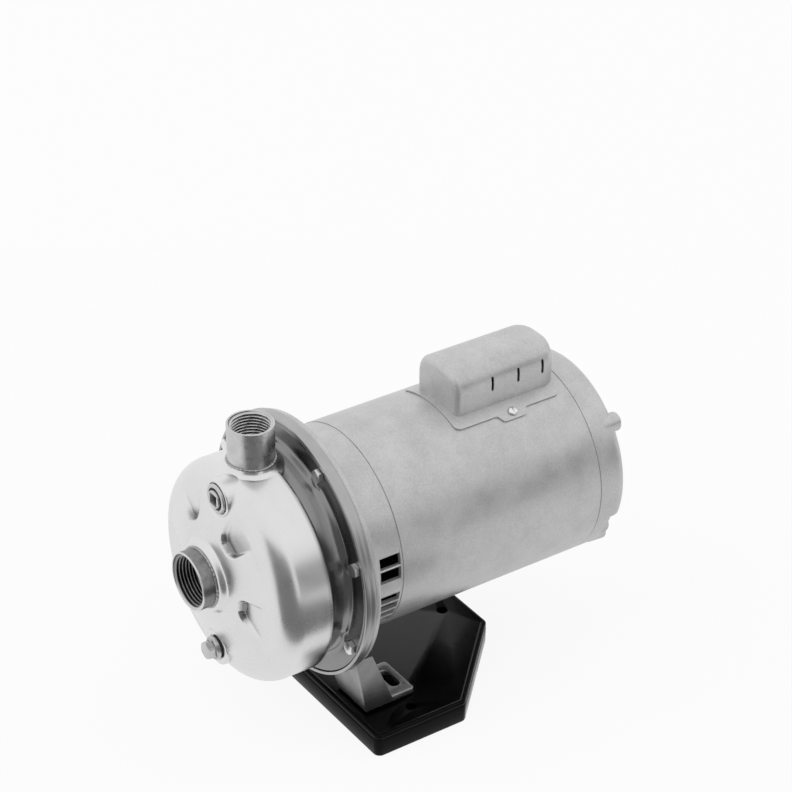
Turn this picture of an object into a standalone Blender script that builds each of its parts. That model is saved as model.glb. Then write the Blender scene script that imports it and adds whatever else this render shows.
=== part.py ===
"""Close-coupled centrifugal pump on a moulded base, at its real size in metres.

The origin is under the middle of the base, +Z is up, and the suction port faces -Y.
Everything round the shaft is modelled in the shaft's own frame: y = 0 is the joint face
between the adapter and the motor, and angles run from straight up towards +X.
"""

import math

import bmesh
import bpy
from mathutils import Matrix, Vector

TAU = 2.0 * math.pi

# Clearances
GAP = 0.0003                    # between pieces that rest on each other
RUNNING_GAP = 0.0006            # between the impeller eye and its wear ring
RIM_CLEARANCE = 0.0006          # round the casing flange, inside the adapter's rim
AIR_GAP = 0.0005                # between rotor and stator

# Where the shaft lies over the base
SHAFT_HEIGHT = 0.1425
JOINT_FACE_Y = -0.080

# Base slab
BASE_HEIGHT = 0.020
BASE_HALF_WIDTH = 0.110
BASE_HALF_LENGTH = 0.080
BASE_CHAMFER = 0.0765
BASE_CORNER_RADIUS = 0.006
BASE_BEAD_WIDTH = 0.0045
BASE_BEAD_HEIGHT = 0.0012
BASE_BEAD_EDGE = 0.0010
BASE_GROOVE_DEPTH = 0.0009
BASE_GROOVE_TOP = 0.0028        # below the slab's top
BASE_GROOVE_BOTTOM = 0.0052
BASE_GROOVE_SLOPE = 0.0008
BASE_HOLE_RADIUS = 0.0045
BASE_HOLE_MARGIN = 0.0200
BASE_SIDE_HOLE_X = BASE_HALF_WIDTH - BASE_HOLE_MARGIN
BASE_SIDE_HOLE_Y = -0.035
BASE_REAR_HOLE_Y = BASE_HALF_LENGTH - 0.0210
BASE_SEAT_MARGIN = 0.0010       # round each foot
BASE_SEAT_FRONT = 0.0040        # in front of each foot

# Motor shell: its radius sets the round sizes, its two ends the long ones
SHELL_RADIUS = 0.0840
SHELL_WALL = 0.0025
SHELL_INNER = SHELL_RADIUS - SHELL_WALL
SHELL_FRONT_Y = 0.0407
SHELL_REAR_Y = 0.2310

# End bells and the through bolts that draw them onto the shell
BELL_RADIUS = SHELL_RADIUS - 0.0006
BELL_WALL = 0.0038
BELL_WEB = 0.0070
BELL_SPIGOT = 0.0050
BELL_FLANGE_WIDTH = 0.0221
BELL_FLANGE_RADIUS = BELL_RADIUS + BELL_FLANGE_WIDTH
BELL_FLANGE_THICKNESS = 0.0055
BELL_CUP_CLEARANCE = 0.0010     # round the seal plate's cup
BEARING_HUB_WALL = 0.0050
THROUGH_BOLT_CIRCLE = SHELL_RADIUS - 0.0075
THROUGH_BOLT_RADIUS = 0.0024
THROUGH_BOLT_END_Y = 0.0110
THROUGH_BOLT_HEAD_FLAT = 0.0036
THROUGH_BOLT_HEAD_HEIGHT = 0.0030
THROUGH_BOLT_ANGLES = [math.radians(a) for a in (50.0, 140.0, 230.0, 320.0)]
BELL_BOSS_WALL = 0.0035
LUG_CIRCLE = THROUGH_BOLT_CIRCLE + 0.0010
LUG_RADIUS = 0.0080
REAR_FACE_Y = SHELL_REAR_Y + 0.0270
REAR_LUG_Y = REAR_FACE_Y + 0.0040
REAR_BELL_WALL = 0.0045
REAR_CROWN_RADIUS = 0.0070
REAR_HUB_RADIUS = 0.0300
REAR_HUB_RISE = 0.0015
VENT_FRONT_Y = 0.0200
VENT_REAR_Y = 0.0386
VENT_SLOTS = [(75.6, 82.4), (83.6, 91.0), (100.6, 106.2), (107.6, 113.2), (114.6, 120.2), (121.6, 127.4)]
REAR_VENT_ANGLES = [math.radians(a) for a in (156.0, 172.0, 188.0, 204.0)]
REAR_VENT_INNER = 0.0400
REAR_VENT_OUTER = 0.0640
REAR_VENT_INNER_WIDTH = 0.0060
REAR_VENT_OUTER_WIDTH = 0.0084
REAR_VENT_CORNER = 0.0018
REAR_NOTCH_START = math.radians(107.0)
REAR_NOTCH_END = math.radians(124.0)
REAR_NOTCH_DEPTH = 0.0130
REAR_NOTCH_WIDTH = 0.0110

# Adapter: the dish that the casing sits in, and its two feet
RIM_RADIUS = BELL_FLANGE_RADIUS + 0.0020
RIM_WALL = 0.0027
RIM_DEPTH = 0.0095
DISH_FLOOR = 0.0032
ADAPTER_BORE_RADIUS = 0.058
FOOT_INNER_X = 0.038
FOOT_OUTER_X = 0.079
FOOT_TOP_OUTER_X = 0.083
FOOT_FRONT_Y = 0.010
FOOT_BACK_Y = 0.037
FOOT_TOP_FRONT_Y = -0.003
FOOT_TOP_BACK_Y = 0.0125
FOOT_TOP_Z = -0.064
FOOT_WALL = 0.007
PAD_BACK_Y = 0.056
PAD_THICKNESS = 0.0055
SLOT_LENGTH = 0.022
SLOT_WIDTH = 0.009
SLOT_Y = 0.046
FOOT_SCREW_X = 0.5 * (FOOT_INNER_X + FOOT_OUTER_X)
FOOT_SCREW_Y = 0.0250
FOOT_SCREW_RADIUS = 0.0030
FOOT_SCREW_HEAD = 0.0052
FOOT_SCREW_HEAD_HEIGHT = 0.0045
FOOT_SCREW_HEAD_Z = 0.0080      # where the head stops in its hole in the slab

# Casing, pressed from sheet
CASING_WALL = 0.0020
FLANGE_RADIUS = RIM_RADIUS - RIM_WALL - RIM_CLEARANCE
FLANGE_THICKNESS = 0.0022
CASING_RADIUS = FLANGE_RADIUS - 0.0139
CASING_SHIFT = 0.0046           # the body sits off the shaft, which makes the volute
CASING_SHIFT_ANGLE = math.radians(137.3)
SHIFT_START = 0.030             # radius on the front where the shift sets in
SHIFT_RAMP = 0.030
SHOULDER_RADIUS = 0.019
SHOULDER_Y = -0.0543
DOME_FRONT_Y = -0.0850
DOME_RADIUS = 0.250
CASING_REAR_EDGE_Y = -0.0282
NECK_RADIUS = FLANGE_RADIUS - 0.0196
NECK_WALL = 0.0026
STEP_RADIUS = FLANGE_RADIUS - 0.0157
BOLT_COUNT = 8
BOLT_FIRST_ANGLE = math.radians(26.7)
BOLT_CIRCLE = FLANGE_RADIUS - 0.0062
BOLT_RADIUS = 0.0029
BOLT_HEAD_FLAT = 0.0050         # half of the width across flats
BOLT_HEAD_HEIGHT = 0.0042
SCALLOP_RADIUS = 0.0115
SCALLOP_DEPTH = 0.0105
DIMPLE_ANGLES = [math.radians(a) for a in (-97.0, -31.0, 33.5, 98.0)]
DIMPLE_INNER_RADIUS = 0.0435
DIMPLE_OUTER_RADIUS = CASING_RADIUS - 0.0118
DIMPLE_DEPTH = 0.0045
DIMPLE_HALF_APEX = 0.0036
DIMPLE_HALF_WIDTH = 0.0066      # once the rounded apex is passed
DIMPLE_APEX_LENGTH = 0.0032
DIMPLE_HALF_ANGLE = math.radians(17.5)

# Ports
SUCTION_RADIUS = 0.0236
SUCTION_BORE = 0.0180
SUCTION_FACE_Y = -0.1002
COLLAR_FRONT_Y = -0.0882        # raised ring of the casing round the suction coupling
COLLAR_WIDTH = 0.0022
COLLAR_SLOPE = 0.0058
DISCHARGE_RADIUS = 0.01835
DISCHARGE_BORE = 0.0146
DISCHARGE_Y = -0.0415
DISCHARGE_TOP_Z = 0.1221
PORT_REACH = 0.0045             # how far a coupling stands inside the casing
PORT_EDGE = 0.0005
PORT_BEVEL = 0.0010
WELD_BEAD = 0.0012

# Priming and drain plugs
PRIMING_X = 0.0070
PRIMING_Z = CASING_RADIUS - 0.0193
PRIMING_PAD_Y = -0.0762
PRIMING_SEAT_Y = -0.0740
PRIMING_SKIRT_Y = -0.0585
PRIMING_FLANGE_RADIUS = 0.0120
DRAIN_X = 0.0018
DRAIN_Z = 0.0208 - CASING_RADIUS
DRAIN_PAD_Y = -0.0780
DRAIN_SEAT_Y = -0.0774
DRAIN_SKIRT_Y = -0.0675
DRAIN_FLANGE_RADIUS = 0.0098
PLUG_THREAD_RADIUS = 0.0065
PLUG_PAD_RADIUS = 0.0150
PLUG_PAD_WALL = 0.0020
PLUG_PAD_THICKNESS = 0.0040
PLUG_BUSH_WALL = 0.0040
PLUG_BUSH_LENGTH = 0.0105
PLUG_RECESS_CLEARANCE = 0.0005
PLUG_SEAL_THICKNESS = 0.0012
PLUG_FLANGE_THICKNESS = 0.0024
PLUG_THREAD_LENGTH = 0.0070
PLUG_THREAD_BEVEL = 0.0008
PLUG_SOCKET_HALF = 0.0045
PLUG_SOCKET_DEPTH = 0.0055
DRAIN_HEX_FLAT = 0.0065
DRAIN_HEX_HEIGHT = 0.0066

# Casing gasket and seal plate
GASKET_THICKNESS = 0.0010
GASKET_INNER_RADIUS = STEP_RADIUS + 0.0010
SEAL_PLATE_THICKNESS = 0.0015
SEAT_CUP_RADIUS = 0.0185
SEAT_CUP_DEPTH = 0.0075

# Shaft and its seal
SHAFT_SEAL_RADIUS = 0.0078
SHAFT_HUB_RADIUS = 0.0068
SHAFT_THREAD_RADIUS = 0.0058
SHAFT_STEP_RADIUS = 0.0105
SHAFT_CORE_RADIUS = 0.0120
SHAFT_FRONT_Y = -0.0560
SHAFT_REAR_Y = SHELL_REAR_Y + 0.0175
SEAT_BOOT_WALL = 0.0016
SEAT_CLEARANCE = 0.0015         # between the shaft and the stationary seat
SEAL_HEAD_RADIUS = 0.0145
SEAL_HEAD_LENGTH = 0.0100
SEAL_HEAD_STEP = 0.0020
SPRING_RADIUS = 0.0120
SPRING_WIRE = 0.0010
SPRING_TURNS = 3
SLINGER_RADIUS = 0.0115
SLINGER_THICKNESS = 0.0020

# Impeller
IMPELLER_RADIUS = 0.0620
IMPELLER_HUB_RADIUS = 0.0140
IMPELLER_BACK_Y = -0.0280
IMPELLER_SHROUD = 0.0020
IMPELLER_EYE_RADIUS = 0.0240
IMPELLER_EYE_Y = -0.0560
VANE_COUNT = 6
VANE_THICKNESS = 0.0022
VANE_SWEEP = math.radians(95.0)
VANE_INNER_RADIUS = 0.0190
VANE_STEPS = 5
VANE_HEIGHT_HUB = 0.0125
VANE_HEIGHT_TIP = 0.0070
WEAR_RING_WALL = 0.0030
WEAR_RING_LENGTH = 0.0060
EYE_SUPPORT_WALL = 0.0015
EYE_SUPPORT_FOOT = 0.0085       # width of the foot that seats inside the casing's front
NUT_FLAT = 0.0090
NUT_HEIGHT = 0.0080
NUT_BEVEL = 0.0012

# Ball bearings, 17 x 40 x 12 mm
BEARING_BORE = 0.0085
BEARING_RADIUS = 0.0200
BEARING_WIDTH = 0.0120
BEARING_SHOULDER = 0.00275      # from the ball circle to the rings' shoulders
BALL_PITCH_RADIUS = 0.01425
BALL_RADIUS = 0.0033
BALL_CLEARANCE = 0.00035
BALL_COUNT = 7
CAGE_HALF_WALL = 0.0009
CAGE_HALF_LENGTH = 0.0016
FRONT_BEARING_Y = 0.0080
REAR_BEARING_Y = SHELL_REAR_Y + 0.0045
WAVE_SPRING_THICKNESS = 0.0008
WAVE_SPRING_WIDTH = 0.0026

# Stator and rotor
CORE_FRONT_Y = 0.0900
CORE_REAR_Y = 0.1800
STATOR_BORE = 0.0422
STATOR_SLOTS = 18
STATOR_SLOT_DEPTH = 0.0160
STATOR_NOTCH_HALF = math.radians(3.8)
STATOR_NOTCH_CLEARANCE = 0.0012
WINDING_INNER = 0.0460
WINDING_OUTER = SHELL_RADIUS - 0.0120
WINDING_LENGTH = 0.0260
WINDING_ROUNDING = 0.0060
END_RING_LENGTH = 0.0080
END_RING_INNER = 0.0220
END_RING_STEP = 0.0020          # inside the rotor core's outside
FAN_RADIUS = SHELL_RADIUS - 0.0140
FAN_HUB_RADIUS = 0.0180
FAN_FRONT_Y = 0.0440
FAN_LENGTH = 0.0120
FAN_DISC = 0.0020
FAN_BLADE_THICKNESS = 0.0020
FAN_BLADES = 8
GOVERNOR_Y = 0.1900
GOVERNOR_RADIUS = 0.0300
GOVERNOR_THICKNESS = 0.0050
GOVERNOR_SLEEVE = 0.0030
COLLAR_RADIUS = 0.0220
COLLAR_LENGTH = 0.0080
COLLAR_TRAVEL = 0.0040
SWITCH_OUTER = 0.0560
SWITCH_INNER = 0.0250
SWITCH_THICKNESS = 0.0030
SWITCH_Y = SHELL_REAR_Y - 0.0150
SWITCH_POST_RADIUS = 0.0045
SWITCH_POST_CIRCLE = 0.0450

# Capacitor cover
COVER_SHEET = 0.0012
COVER_FRONT_Y = 0.1215
COVER_REAR_Y = SHELL_REAR_Y - 0.0088
COVER_FLANGE_ANGLE = math.radians(25.5)
COVER_BODY_FRONT_Y = COVER_FRONT_Y + 0.0060
COVER_BODY_REAR_Y = COVER_REAR_Y - 0.0010
COVER_HALF_WIDTH = 0.0265
COVER_TOP_Z = SHELL_RADIUS + 0.0330
COVER_SHOULDER = 0.0165
COVER_FRONT_ROUNDING = 0.0050
COVER_REAR_ROUNDING = 0.0035
COVER_TAB_ANGLE = math.radians(30.0)
COVER_TAB_FRONT_Y = 0.1600
COVER_TAB_REAR_Y = 0.1870
COVER_SLOT_Y = (0.1626, 0.1875, 0.2110)
COVER_SLOT_LOW_Z = SHELL_RADIUS + 0.0105
COVER_SLOT_HIGH_Z = SHELL_RADIUS + 0.0220
COVER_SLOT_WIDTH = 0.0022
COVER_SCREW_ANGLE = math.radians(25.8)
COVER_SCREW_Y = 0.1745
COVER_SCREW_RADIUS = 0.0018
COVER_SCREW_LENGTH = 0.0013
COVER_SCREW_HEAD = 0.0040
COVER_SCREW_HEAD_HEIGHT = 0.0022
CAPACITOR_RADIUS = 0.0138
CAPACITOR_LENGTH = 0.0760
WIRE_HOLE_RADIUS = 0.0060
WIRE_HOLE_Y = COVER_BODY_REAR_Y - 0.0120

# Facets
ROUND = 32
ROUND_PORT = 36
ROUND_INNER = 16
ROUND_SMALL = 12
ROUND_BOLT = 10
ROUND_HOLE = 8
ROUND_HEX = 6

# Places that follow from the sizes above
FLANGE_BACK_Y = -(DISH_FLOOR + SEAL_PLATE_THICKNESS + GASKET_THICKNESS + 3.0 * GAP)
FLANGE_FRONT_Y = FLANGE_BACK_Y - FLANGE_THICKNESS
FOOT_BOTTOM_Z = BASE_HEIGHT + GAP - SHAFT_HEIGHT
SEAT_FACE_Y = -(DISH_FLOOR + GAP + SEAL_PLATE_THICKNESS)
IMPELLER_FRONT_Y = IMPELLER_BACK_Y - IMPELLER_SHROUD - VANE_HEIGHT_HUB
SEAL_PLATE_CUP_Y = SEAT_FACE_Y + SEAT_CUP_DEPTH + SEAL_PLATE_THICKNESS
EYE_SUPPORT_INNER = IMPELLER_EYE_RADIUS + RUNNING_GAP + WEAR_RING_WALL + GAP


def clear_scene():
    for obj in list(bpy.data.objects):
        bpy.data.objects.remove(obj, do_unlink=True)


def make_material(name, colour, metallic, roughness):
    material = bpy.data.materials.new(name)
    material.use_nodes = True
    shader = material.node_tree.nodes["Principled BSDF"]
    shader.inputs["Base Color"].default_value = (*colour, 1.0)
    shader.inputs["Metallic"].default_value = metallic
    shader.inputs["Roughness"].default_value = roughness
    return material


def make_empty(name, location, parent=None):
    empty = bpy.data.objects.new(name, None)
    empty.location = location
    empty.parent = parent
    bpy.context.scene.collection.objects.link(empty)
    return empty


def make_object(name, bm, look=None, parent=None, location=(0.0, 0.0, 0.0), smooth=35.0):
    """Turn a bmesh into an object; the mesh is given in the parent's frame."""
    bmesh.ops.recalc_face_normals(bm, faces=bm.faces[:])
    bmesh.ops.translate(bm, vec=-Vector(location), verts=bm.verts[:])
    mesh = bpy.data.meshes.new(name)
    bm.to_mesh(mesh)
    bm.free()
    obj = bpy.data.objects.new(name, mesh)
    obj.parent = parent
    obj.location = location
    bpy.context.scene.collection.objects.link(obj)
    if look is not None:
        mesh.materials.append(make_material(name + "_finish", *look))
    mesh.shade_smooth()
    mesh.set_sharp_from_angle(angle=math.radians(smooth))
    return obj


def make_copies(prefix, bm, look, parent, frames):
    """Objects that share one mesh, each at its own frame and numbered from 1."""
    first = make_object(prefix + "_1", bm, look, parent)
    first.matrix_local = frames[0]
    for number, frame in enumerate(frames[1:], 2):
        copy = bpy.data.objects.new(f"{prefix}_{number}", first.data)
        copy.parent = parent
        copy.matrix_local = frame
        bpy.context.scene.collection.objects.link(copy)


def make_tool(name, bm, parent):
    """A helper solid that cuts or adds to another one, and isn't a piece itself."""
    tool = make_object(name, bm, parent=parent)
    tool.hide_render = True
    tool.display_type = "WIRE"
    return tool


def combine(obj, tool, operation):
    modifier = obj.modifiers.new(tool.name, "BOOLEAN")
    modifier.operation = operation
    modifier.solver = "EXACT"
    modifier.object = tool
    return modifier


def cut(obj, tool):
    return combine(obj, tool, "DIFFERENCE")


def add(obj, tool):
    return combine(obj, tool, "UNION")


def polar(radius, angle, y):
    """A point at an angle round the shaft, from straight up towards +X."""
    return Vector((radius * math.sin(angle), y, radius * math.cos(angle)))


def corner_radius(flat, sides=6):
    """Radius to the corners of a regular polygon with the given distance to its flats."""
    return flat / math.cos(math.pi / sides)


def inside_facets(radius, segments, angle, gap):
    """Radius at an angle that keeps a gap inside a turned surface with that many facets."""
    half = math.pi / segments
    flat = radius * math.cos(half) - gap
    return flat / math.cos(angle % (2.0 * half) - half)


def turn(bm, profile, segments, frame=Matrix.Identity(4), shifts=None):
    """Turn a profile of (radius, y) about Y. It closes on itself unless it ends on the axis."""
    rings = []
    for number, (radius, y) in enumerate(profile):
        shift = shifts[number] if shifts else Vector((0.0, 0.0, 0.0))
        if radius < 1e-7:
            rings.append([bm.verts.new(frame @ Vector((0.0, y, 0.0)))])
            continue
        ring = []
        for step in range(segments):
            angle = TAU * step / segments
            ring.append(bm.verts.new(frame @ (polar(radius, angle, y) + shift)))
        rings.append(ring)
    pairs = list(zip(rings, rings[1:]))
    if len(rings[0]) > 1 and len(rings[-1]) > 1:
        pairs.append((rings[-1], rings[0]))
    for near, far in pairs:
        for step in range(segments):
            following = step + 1
            corners = (near[step % len(near)], near[following % len(near)],
                       far[following % len(far)], far[step % len(far)])
            unique = list(dict.fromkeys(corners))
            if len(unique) > 2:
                bm.faces.new(unique)


def rod(bm, radius, low, high, segments, frame=Matrix.Identity(4)):
    turn(bm, [(0.0, low), (radius, low), (radius, high), (0.0, high)], segments, frame)


def tube(bm, outer, inner, low, high, segments, frame=Matrix.Identity(4)):
    turn(bm, [(outer, low), (outer, high), (inner, high), (inner, low)], segments, frame)


def prism(bm, outline, low, high, axis="Y", frame=Matrix.Identity(4)):
    """Extrude an outline along an axis; the outline is given in the other two axes in order."""
    place = {
        "X": lambda a, b, c: Vector((c, a, b)),
        "Y": lambda a, b, c: Vector((a, c, b)),
        "Z": lambda a, b, c: Vector((a, b, c)),
    }[axis]
    near = [bm.verts.new(frame @ place(a, b, low)) for a, b in outline]
    far = [bm.verts.new(frame @ place(a, b, high)) for a, b in outline]
    bm.faces.new(near)
    bm.faces.new(far)
    count = len(outline)
    for step in range(count):
        following = (step + 1) % count
        bm.faces.new((near[step], near[following], far[following], far[step]))


def hexahedron(bm, bottom, top):
    """A block with four bottom corners and four top corners, each given in turn."""
    low = [bm.verts.new(corner) for corner in bottom]
    high = [bm.verts.new(corner) for corner in top]
    bm.faces.new(low)
    bm.faces.new(high)
    for step in range(4):
        following = (step + 1) % 4
        bm.faces.new((low[step], low[following], high[following], high[step]))


def sector(bm, outer, inner, low, high, start, end, steps):
    """A curved plate: a piece of tube between two angles."""
    rows = []
    for step in range(steps + 1):
        angle = start + (end - start) * step / steps
        rows.append([bm.verts.new(polar(radius, angle, y))
                     for radius, y in ((inner, low), (outer, low), (outer, high), (inner, high))])
    bm.faces.new(rows[0])
    bm.faces.new(rows[-1])
    for near, far in zip(rows, rows[1:]):
        for corner in range(4):
            following = (corner + 1) % 4
            bm.faces.new((near[corner], near[following], far[following], far[corner]))


def arc(centre_a, centre_b, radius, start, end, steps):
    """Points of an arc in a plane; angles in degrees from the first axis to the second."""
    points = []
    for step in range(steps + 1):
        angle = math.radians(start + (end - start) * step / steps)
        points.append((centre_a + radius * math.cos(angle), centre_b + radius * math.sin(angle)))
    return points


def round_corners(corners, radius, steps):
    """Replace each corner of a convex outline, listed anticlockwise, by an arc."""
    points = []
    count = len(corners)
    for number, corner in enumerate(corners):
        here = Vector(corner)
        before = (Vector(corners[number - 1]) - here).normalized()
        after = (Vector(corners[(number + 1) % count]) - here).normalized()
        half = before.angle(after) / 2.0
        centre = here + (before + after).normalized() * (radius / math.sin(half))
        start = here + before * (radius / math.tan(half)) - centre
        sweep = math.pi - 2.0 * half
        for step in range(steps + 1):
            turned = Matrix.Rotation(sweep * step / steps, 2) @ start
            points.append(tuple(centre + turned))
    return points


def axis_frame(point, direction):
    """A frame at a point whose Y axis runs along the direction."""
    turn_to = Vector((0.0, 1.0, 0.0)).rotation_difference(Vector(direction))
    return Matrix.Translation(Vector(point)) @ turn_to.to_matrix().to_4x4()


def dome_y(radius, wall=0.0):
    """Height of the casing's front dome at a radius; wall measures inwards from the outside."""
    sphere = DOME_RADIUS - wall
    return DOME_FRONT_Y + DOME_RADIUS - math.sqrt(sphere * sphere - radius * radius)


def front_y(radius, wall=0.0):
    """Height of the casing's front at a radius on its own centre, dome and shoulder together."""
    start = CASING_RADIUS - SHOULDER_RADIUS
    if radius <= start:
        return dome_y(radius, wall)
    bend = SHOULDER_RADIUS - wall
    share = math.sqrt(max(0.0, 1.0 - ((radius - start) / bend) ** 2))
    rise = dome_y(start) - (SHOULDER_Y - SHOULDER_RADIUS)
    return SHOULDER_Y - bend * share + rise * share * share


def casing_shift(radius, y):
    """How far the casing's section sits off the shaft; the middle and the flange don't."""
    if y > CASING_REAR_EDGE_Y + 0.0010:
        return 0.0
    return CASING_SHIFT * min(max((radius - SHIFT_START) / SHIFT_RAMP, 0.0), 1.0)


def bolt_angles():
    return [BOLT_FIRST_ANGLE + TAU * number / BOLT_COUNT for number in range(BOLT_COUNT)]


def base_outline(inset):
    """The slab's plan, with its two chamfered rear corners, drawn in by an inset."""
    side = BASE_HALF_WIDTH - inset
    front = -BASE_HALF_LENGTH + inset
    rear = BASE_HALF_LENGTH - inset
    slope = inset * math.tan(math.radians(22.5))
    chamfer_start = BASE_HALF_LENGTH - BASE_CHAMFER - slope
    rear_half = BASE_HALF_WIDTH - BASE_CHAMFER - slope
    corners = [(-side, front), (side, front), (side, chamfer_start), (rear_half, rear),
               (-rear_half, rear), (-side, chamfer_start)]
    return round_corners(corners, BASE_CORNER_RADIUS - min(inset, 0.5 * BASE_CORNER_RADIUS), 2)


def build_base():
    """Moulded slab with a bead round its top edge and a shadow line under the bead."""
    groove_bottom = BASE_HEIGHT - BASE_GROOVE_BOTTOM
    groove_top = BASE_HEIGHT - BASE_GROOVE_TOP
    levels = [
        (0.0, 0.0),
        (0.0, groove_bottom),
        (BASE_GROOVE_DEPTH, groove_bottom + BASE_GROOVE_SLOPE),
        (BASE_GROOVE_DEPTH, groove_top - BASE_GROOVE_SLOPE),
        (0.0, groove_top),
        (0.2 * BASE_BEAD_EDGE, BASE_HEIGHT - BASE_BEAD_EDGE),
        (1.2 * BASE_BEAD_EDGE, BASE_HEIGHT),
        (BASE_BEAD_WIDTH - BASE_BEAD_EDGE, BASE_HEIGHT),
        (BASE_BEAD_WIDTH, BASE_HEIGHT - BASE_BEAD_HEIGHT),
    ]
    bm = bmesh.new()
    loops = [[bm.verts.new((x, y, z)) for x, y in base_outline(inset)] for inset, z in levels]
    for low, high in zip(loops, loops[1:]):
        for step in range(len(low)):
            following = (step + 1) % len(low)
            bm.faces.new((low[step], low[following], high[following], high[step]))
    bm.faces.new(loops[0])
    bm.faces.new(loops[-1])
    base = make_object("base_pad", bm, ((0.012, 0.012, 0.013), 0.0, 0.22))

    # Seats that bring the recessed top up to the feet
    bm = bmesh.new()
    seat_inner = FOOT_INNER_X - BASE_SEAT_MARGIN
    seat_outer = FOOT_OUTER_X + BASE_SEAT_MARGIN
    seat_front = JOINT_FACE_Y + FOOT_FRONT_Y - BASE_SEAT_FRONT
    seat_back = JOINT_FACE_Y + PAD_BACK_Y + BASE_SEAT_MARGIN
    for side in (-1.0, 1.0):
        outline = [(side * seat_inner, seat_front), (side * seat_outer, seat_front),
                   (side * seat_outer, seat_back), (side * seat_inner, seat_back)]
        prism(bm, outline, BASE_HEIGHT - 2.0 * BASE_BEAD_HEIGHT, BASE_HEIGHT, "Z")
    add(base, make_tool("base_seats_tool", bm, None))

    bm = bmesh.new()
    for x, y in ((BASE_SIDE_HOLE_X, BASE_SIDE_HOLE_Y), (-BASE_SIDE_HOLE_X, BASE_SIDE_HOLE_Y),
                 (0.0, BASE_REAR_HOLE_Y)):
        frame = axis_frame((x, y, 0.0), (0.0, 0.0, 1.0))
        rod(bm, BASE_HOLE_RADIUS, -0.01, BASE_HEIGHT + 0.01, ROUND_SMALL, frame)
    shank = FOOT_SCREW_RADIUS + GAP
    bore = 2.0 * FOOT_SCREW_RADIUS
    for x, y in foot_screw_places():
        frame = axis_frame((x, y, 0.0), (0.0, 0.0, 1.0))
        turn(bm, [(0.0, -0.01), (bore, -0.01), (bore, FOOT_SCREW_HEAD_Z), (shank, FOOT_SCREW_HEAD_Z),
                  (shank, BASE_HEIGHT + 0.01), (0.0, BASE_HEIGHT + 0.01)], ROUND_BOLT, frame)
    for side in (-1.0, 1.0):
        prism(bm, slot_outline(side, JOINT_FACE_Y), 0.5 * BASE_HEIGHT, BASE_HEIGHT + 0.01, "Z")
    cut(base, make_tool("base_holes_tool", bm, None))
    return base


def slot_outline(side, offset_y):
    """The mounting slot of one foot, as an outline with round ends."""
    half = 0.5 * (SLOT_LENGTH - SLOT_WIDTH)
    centre_x = 0.5 * (FOOT_INNER_X + FOOT_OUTER_X) * side
    centre_y = SLOT_Y + offset_y
    right = arc(centre_x + half, centre_y, 0.5 * SLOT_WIDTH, -90.0, 90.0, 5)
    left = arc(centre_x - half, centre_y, 0.5 * SLOT_WIDTH, 90.0, 270.0, 5)
    return right + left


def foot_screw_places():
    """Each screw's x and y in the base's frame."""
    return [(side * FOOT_SCREW_X, JOINT_FACE_Y + FOOT_SCREW_Y) for side in (-1.0, 1.0)]


def build_foot_screws():
    """Screws from under the base up into the feet."""
    bm = bmesh.new()
    high = FOOT_SCREW_HEAD_Z - GAP
    low = high - FOOT_SCREW_HEAD_HEIGHT
    tip = BASE_HEIGHT + PAD_THICKNESS - GAP
    turn(bm, [(0.0, low), (FOOT_SCREW_HEAD, low), (FOOT_SCREW_HEAD, high),
              (FOOT_SCREW_RADIUS, high), (FOOT_SCREW_RADIUS, tip), (0.0, tip)], ROUND_BOLT)
    frames = [axis_frame((x, y, 0.0), (0.0, 0.0, 1.0)) for x, y in foot_screw_places()]
    make_copies("foot_screw", bm, ((0.42, 0.42, 0.43), 1.0, 0.35), None, frames)


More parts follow.
